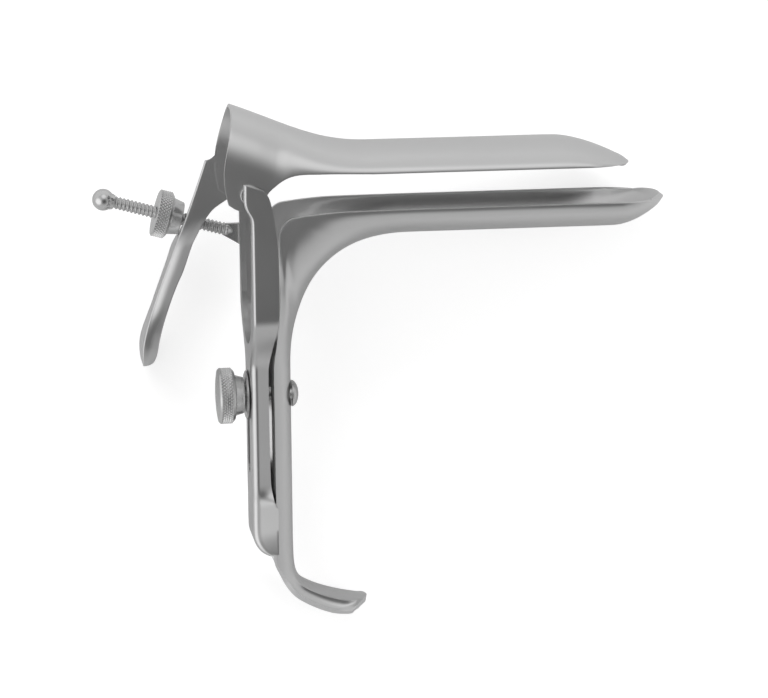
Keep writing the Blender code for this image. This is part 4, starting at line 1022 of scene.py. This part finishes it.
# Adjusting rod and its ball end, along the rod's own axis from its eye
ROD_R = 1.75
ROD_STEPS = 28
THREAD_START = 6.6
THREAD_END = 38.2
THREAD_PITCH = 1.07
THREAD_DEPTH = 0.36
THREAD_RUN_OUT = 1.2
ROWS_PER_TURN = 10
EYE_R = 3.6
EYE_HALF_THICKNESS = 0.9
EYE_EDGE_R = 0.2
EYE_BORE_R = 1.28
BALL_CENTRE = 41.1
BALL_R = 2.95


def thread_rings():
    """Rings along the thread, whose groove winds once in a pitch and runs out at its start."""
    count = int((THREAD_END - THREAD_START) / THREAD_PITCH * ROWS_PER_TURN)
    rings = []
    for i in range(count + 1):
        x = mix(THREAD_START, THREAD_END, i / count)
        run_out = smooth((x - THREAD_START) / THREAD_RUN_OUT)
        points = []
        for k in range(ROD_STEPS):
            a = 2 * math.pi * k / ROD_STEPS
            phase = (x / THREAD_PITCH - a / (2 * math.pi)) % 1.0
            tooth = 1.0 - abs(2.0 * phase - 1.0)
            radius = ROD_R - THREAD_DEPTH * (1.0 - smooth(tooth * 1.25 - 0.12)) * run_out
            points.append((x, radius * math.cos(a), radius * math.sin(a)))
        rings.append(points)
    return rings


def rod_eye():
    """The rod's flattened end, with the hole for its rivet."""
    round_end = [(-x, z) for x, z in arc(0.0, 0.0, EYE_R, -118.0, 118.0, 33)]
    outline = round_end + [(7.4, 1.6), (7.4, -1.6)]
    eye = eased_edges(prism(outline, -EYE_HALF_THICKNESS, EYE_HALF_THICKNESS, "Y"), EYE_EDGE_R)
    return boolean(eye, [bore(EYE_BORE_R, (0, 1, 0), (0, 0, 0))])


def make_rod():
    """Threaded rod; the thread runs from the flattened eye to the ball's spigot."""
    flare = [ring(x, r, ROD_STEPS) for x, r in ((4.6, 0.0), (4.6, 0.7), (5.6, 1.25), (6.3, 1.65))]
    spigot = [ring(x, r, ROD_STEPS) for x, r in ((38.21, 1.05), (41.8, 1.05), (41.8, 0.0))]
    mesh = turned_out(grid_mesh("rod", flare + thread_rings() + spigot, closed=True), MERGE)
    bm = bmesh.new()
    bm.from_mesh(mesh)
    bm.from_mesh(rod_eye())
    both = bpy.data.meshes.new("rod")
    bm.to_mesh(both)
    bm.free()
    show("adjusting_rod_threaded", placed(both, ROD_AXIS, ROD_EYE), THREAD_STEEL,
         "rod", "adjusting_rod", 60.0)


def make_ball():
    profile = dome(BALL_CENTRE, BALL_R, BALL_R, range(0, 133, 6))
    profile += [(BALL_CENTRE - 0.82 * BALL_R, 0.72 * BALL_R), (BALL_CENTRE - BALL_R, 0.655 * BALL_R),
                (38.15, 1.8), (38.15, 1.13), (42.1, 1.13), (42.1, 0.0)]
    show("rod_ball", placed(turned("ball", profile), ROD_AXIS, ROD_EYE), BALL_STEEL,
         "rod", "rod_ball_end", 45.0)


# Stud, washers and rivets
STUD_HEAD_X = 14.65
STUD_R = 2.0
HINGE_RIVET_STEPS = 40
SPACER_STEPS = 48
EYE_RIVET_HEAD = 19.25


def make_clamp_stud():
    """Stud through handle and yoke, and the dished washer under the knob."""
    stud = [(STUD_HEAD_X + 1.9, 0.0)] + dome(STUD_HEAD_X, 1.9, 3.6, range(8, 89, 8))
    stud += rounded([(STUD_HEAD_X, 3.6), (STUD_HEAD_X, STUD_R), (-3.0, STUD_R), (-3.38, 1.6),
                     (-3.38, 0.0)], 0.1)
    washer = [(2.7, CLAMP_BORE_R), (2.7, 6.4), (2.62, 6.55), (2.4, 6.6), (2.2, 6.2), (2.1, 5.9),
              (2.1, CLAMP_BORE_R), (2.7, CLAMP_BORE_R)]
    for name, profile in (("stud", stud), ("washer", washer)):
        mesh = placed(turned(name, profile), (1, 0, 0), (0, 0, CLAMP_Z))
        show(name, mesh, TURNED_STEEL, "handle_and_lower_blade", "clamp_" + name)


def make_hinge(label, side):
    """Rivet and spacer washer of one ear."""
    rivet = [(16.9, 0.0), (16.9, 1.15), (12.7, 1.15), (12.7, 1.8), (12.6, 1.9), (12.3, 1.8),
             (11.9, 1.3), (11.9, 0.0)]
    mesh = placed(turned("rivet", rivet, HINGE_RIVET_STEPS), (0, side, 0), (HINGE_X, 0, 0))
    show("rivet_" + label, mesh, YOKE_STEEL, "yoke", "hinge_rivet_" + label)
    spacer = [(15.35, HINGE_BORE_R), (15.35, 2.35), (15.2, 2.5), (14.3, 2.5), (14.15, 2.35),
              (14.15, HINGE_BORE_R), (15.35, HINGE_BORE_R)]
    mesh = placed(turned("spacer", spacer, SPACER_STEPS), (0, side, 0), (HINGE_X, 0, 0))
    show("spacer_" + label, mesh, TURNED_STEEL, "yoke", "hinge_washer_" + label)


def make_eye_rivet():
    """Domed rivet that holds the rod's eye on the far arm."""
    profile = [(20.35, 0.0)] + dome(EYE_RIVET_HEAD, 1.1, 2.3, range(10, 89, 10))
    profile += [(EYE_RIVET_HEAD, 2.3), (EYE_RIVET_HEAD, 1.2), (15.6, 1.2), (15.6, 0.0)]
    mesh = placed(turned("rivet", profile, HINGE_RIVET_STEPS), (0, 1, 0), (ROD_EYE[0], 0, ROD_EYE[2]))
    show("eye_rivet", mesh, TURNED_STEEL, "yoke", "rod_rivet")


make_lower()
make_upper()
make_yoke()
make_nut()
make_knob()
make_rod()
make_ball()
make_clamp_stud()
make_hinge("near", -1.0)
make_hinge("far", 1.0)
make_eye_rivet()


# Floor, world, lamps and camera, in metres
FLOOR_HALF_SIZE = 1.5
FLOOR_DROP = 0.0002
FLOOR_GLOW = 0.66
FLOOR_WHITE = 0.8
FLOOR_DIMMED_BY_CAMERA = 0.35
FLOOR_DIMMED_IN_STEEL = 0.24

# Light that comes from around a direction: brightness by the cosine to it, both ends first
TENT_OPENING = (0.15, -0.97, -0.21)
TENT_STOPS = ((0.0, 0.72), (1.0, 0.11), (0.25, 0.62), (0.55, 0.57), (0.766, 0.52), (0.883, 0.4),
              (0.94, 0.22), (0.97, 0.13))
LEFT_PANEL = (-0.76, -0.55, -0.2)
LEFT_PANEL_STOPS = ((0.0, 0.0), (1.0, 0.65), (0.8, 0.0), (0.92, 0.55))
UPPER_PANEL = (0.1, -0.74, 0.66)
UPPER_PANEL_STOPS = ((0.0, 0.0), (1.0, 0.4), (0.9, 0.0), (0.96, 0.35))

# The camera in the instrument's frame: its right and up directions, and its place in millimetres
CAMERA_RIGHT = (0.98744, -0.15786, -0.00683)
CAMERA_UP = (0.03942, 0.20425, 0.97812)
CAMERA_PLACE = (-67.04, -676.27, 100.33)
CAMERA_LENS = 121.4


def make_floor():
    """A white floor that keeps the shadow, glows for the camera and looks darker in the steel."""
    mesh = bpy.data.meshes.new("floor")
    size = FLOOR_HALF_SIZE
    mesh.from_pydata([(-size, -size, 0), (size, -size, 0), (size, size, 0), (-size, size, 0)],
                     [], [(0, 1, 2, 3)])
    ob = bpy.data.objects.new("floor", mesh)
    bpy.context.scene.collection.objects.link(ob)
    ob.location = (0.0, 0.0, -FLOOR_DROP)
    mat = bpy.data.materials.new("white_floor")
    mat.use_nodes = True
    nodes, links = mat.node_tree.nodes, mat.node_tree.links
    nodes.clear()
    out = nodes.new("ShaderNodeOutputMaterial")
    add = nodes.new("ShaderNodeAddShader")
    diffuse = nodes.new("ShaderNodeBsdfDiffuse")
    glow = nodes.new("ShaderNodeEmission")
    path = nodes.new("ShaderNodeLightPath")

    def scaled(kind, factor, offset):
        """The light path's output times a factor, plus an offset."""
        node = nodes.new("ShaderNodeMath")
        node.operation = "MULTIPLY_ADD"
        links.new(path.outputs[kind], node.inputs[0])
        node.inputs[1].default_value = factor
        node.inputs[2].default_value = offset
        return node

    in_steel = scaled("Is Glossy Ray", -FLOOR_DIMMED_IN_STEEL, FLOOR_WHITE)
    colour = scaled("Is Camera Ray", -FLOOR_DIMMED_BY_CAMERA, 0.0)
    links.new(in_steel.outputs[0], colour.inputs[2])
    links.new(colour.outputs[0], diffuse.inputs["Color"])
    links.new(scaled("Is Camera Ray", FLOOR_GLOW, 0.0).outputs[0], glow.inputs["Strength"])
    links.new(diffuse.outputs[0], add.inputs[0])
    links.new(glow.outputs[0], add.inputs[1])
    links.new(add.outputs[0], out.inputs["Surface"])
    mesh.materials.append(mat)


def make_world():
    """A light tent: even walls, a dark opening above, and brighter panels left and above."""
    world = bpy.data.worlds.new("studio")
    bpy.context.scene.world = world
    world.use_nodes = True
    nodes, links = world.node_tree.nodes, world.node_tree.links
    coords = nodes.new("ShaderNodeTexCoord")

    def facing(direction, stops):
        towards = (INSTRUMENT.to_3x3() @ Vector(direction)).normalized()
        dot = nodes.new("ShaderNodeVectorMath")
        dot.operation = "DOT_PRODUCT"
        dot.inputs[1].default_value = towards
        links.new(coords.outputs["Generated"], dot.inputs[0])
        ramp = nodes.new("ShaderNodeValToRGB")
        links.new(dot.outputs["Value"], ramp.inputs["Fac"])
        elements = ramp.color_ramp.elements
        for k, (position, level) in enumerate(stops):
            element = elements[k] if k < 2 else elements.new(position)
            element.position = position
            element.color = (level, level, level, 1.0)
        return ramp.outputs["Color"]

    def total(first, second):
        node = nodes.new("ShaderNodeVectorMath")
        node.operation = "ADD"
        links.new(first, node.inputs[0])
        links.new(second, node.inputs[1])
        return node.outputs[0]

    tent = facing(TENT_OPENING, TENT_STOPS)
    panels = total(facing(LEFT_PANEL, LEFT_PANEL_STOPS), facing(UPPER_PANEL, UPPER_PANEL_STOPS))
    links.new(total(tent, panels), nodes["Background"].inputs["Color"])


def area_lamp(name, position, size, power):
    """A lamp that faces the world's origin and isn't mirrored in the steel."""
    data = bpy.data.lights.new(name, "AREA")
    data.shape = "RECTANGLE"
    data.size, data.size_y = size
    data.energy = power
    ob = bpy.data.objects.new(name, data)
    ob.visible_glossy = False
    bpy.context.scene.collection.objects.link(ob)
    ob.location = position
    ob.rotation_euler = (-Vector(position)).to_track_quat("-Z", "Y").to_euler()


def make_camera():
    right = Vector(CAMERA_RIGHT)
    upward = Vector(CAMERA_UP)
    back = right.cross(upward).normalized()
    turn = Matrix((right, upward, back)).transposed().to_4x4()
    turn.translation = Vector(CAMERA_PLACE) * MM
    data = bpy.data.cameras.new("camera")
    data.lens = CAMERA_LENS
    data.sensor_width = 36.0
    data.clip_start = 0.01
    ob = bpy.data.objects.new("camera", data)
    bpy.context.scene.collection.objects.link(ob)
    ob.matrix_world = INSTRUMENT @ turn
    bpy.context.scene.camera = ob


make_floor()
make_world()
area_lamp("top_box", (-0.25, 0.75, 0.45), (0.9, 0.5), 6.0)
area_lamp("right_box", (0.8, -0.1, 0.5), (0.6, 0.6), 4.0)
make_camera()
bpy.context.scene.view_settings.view_transform = "Standard"
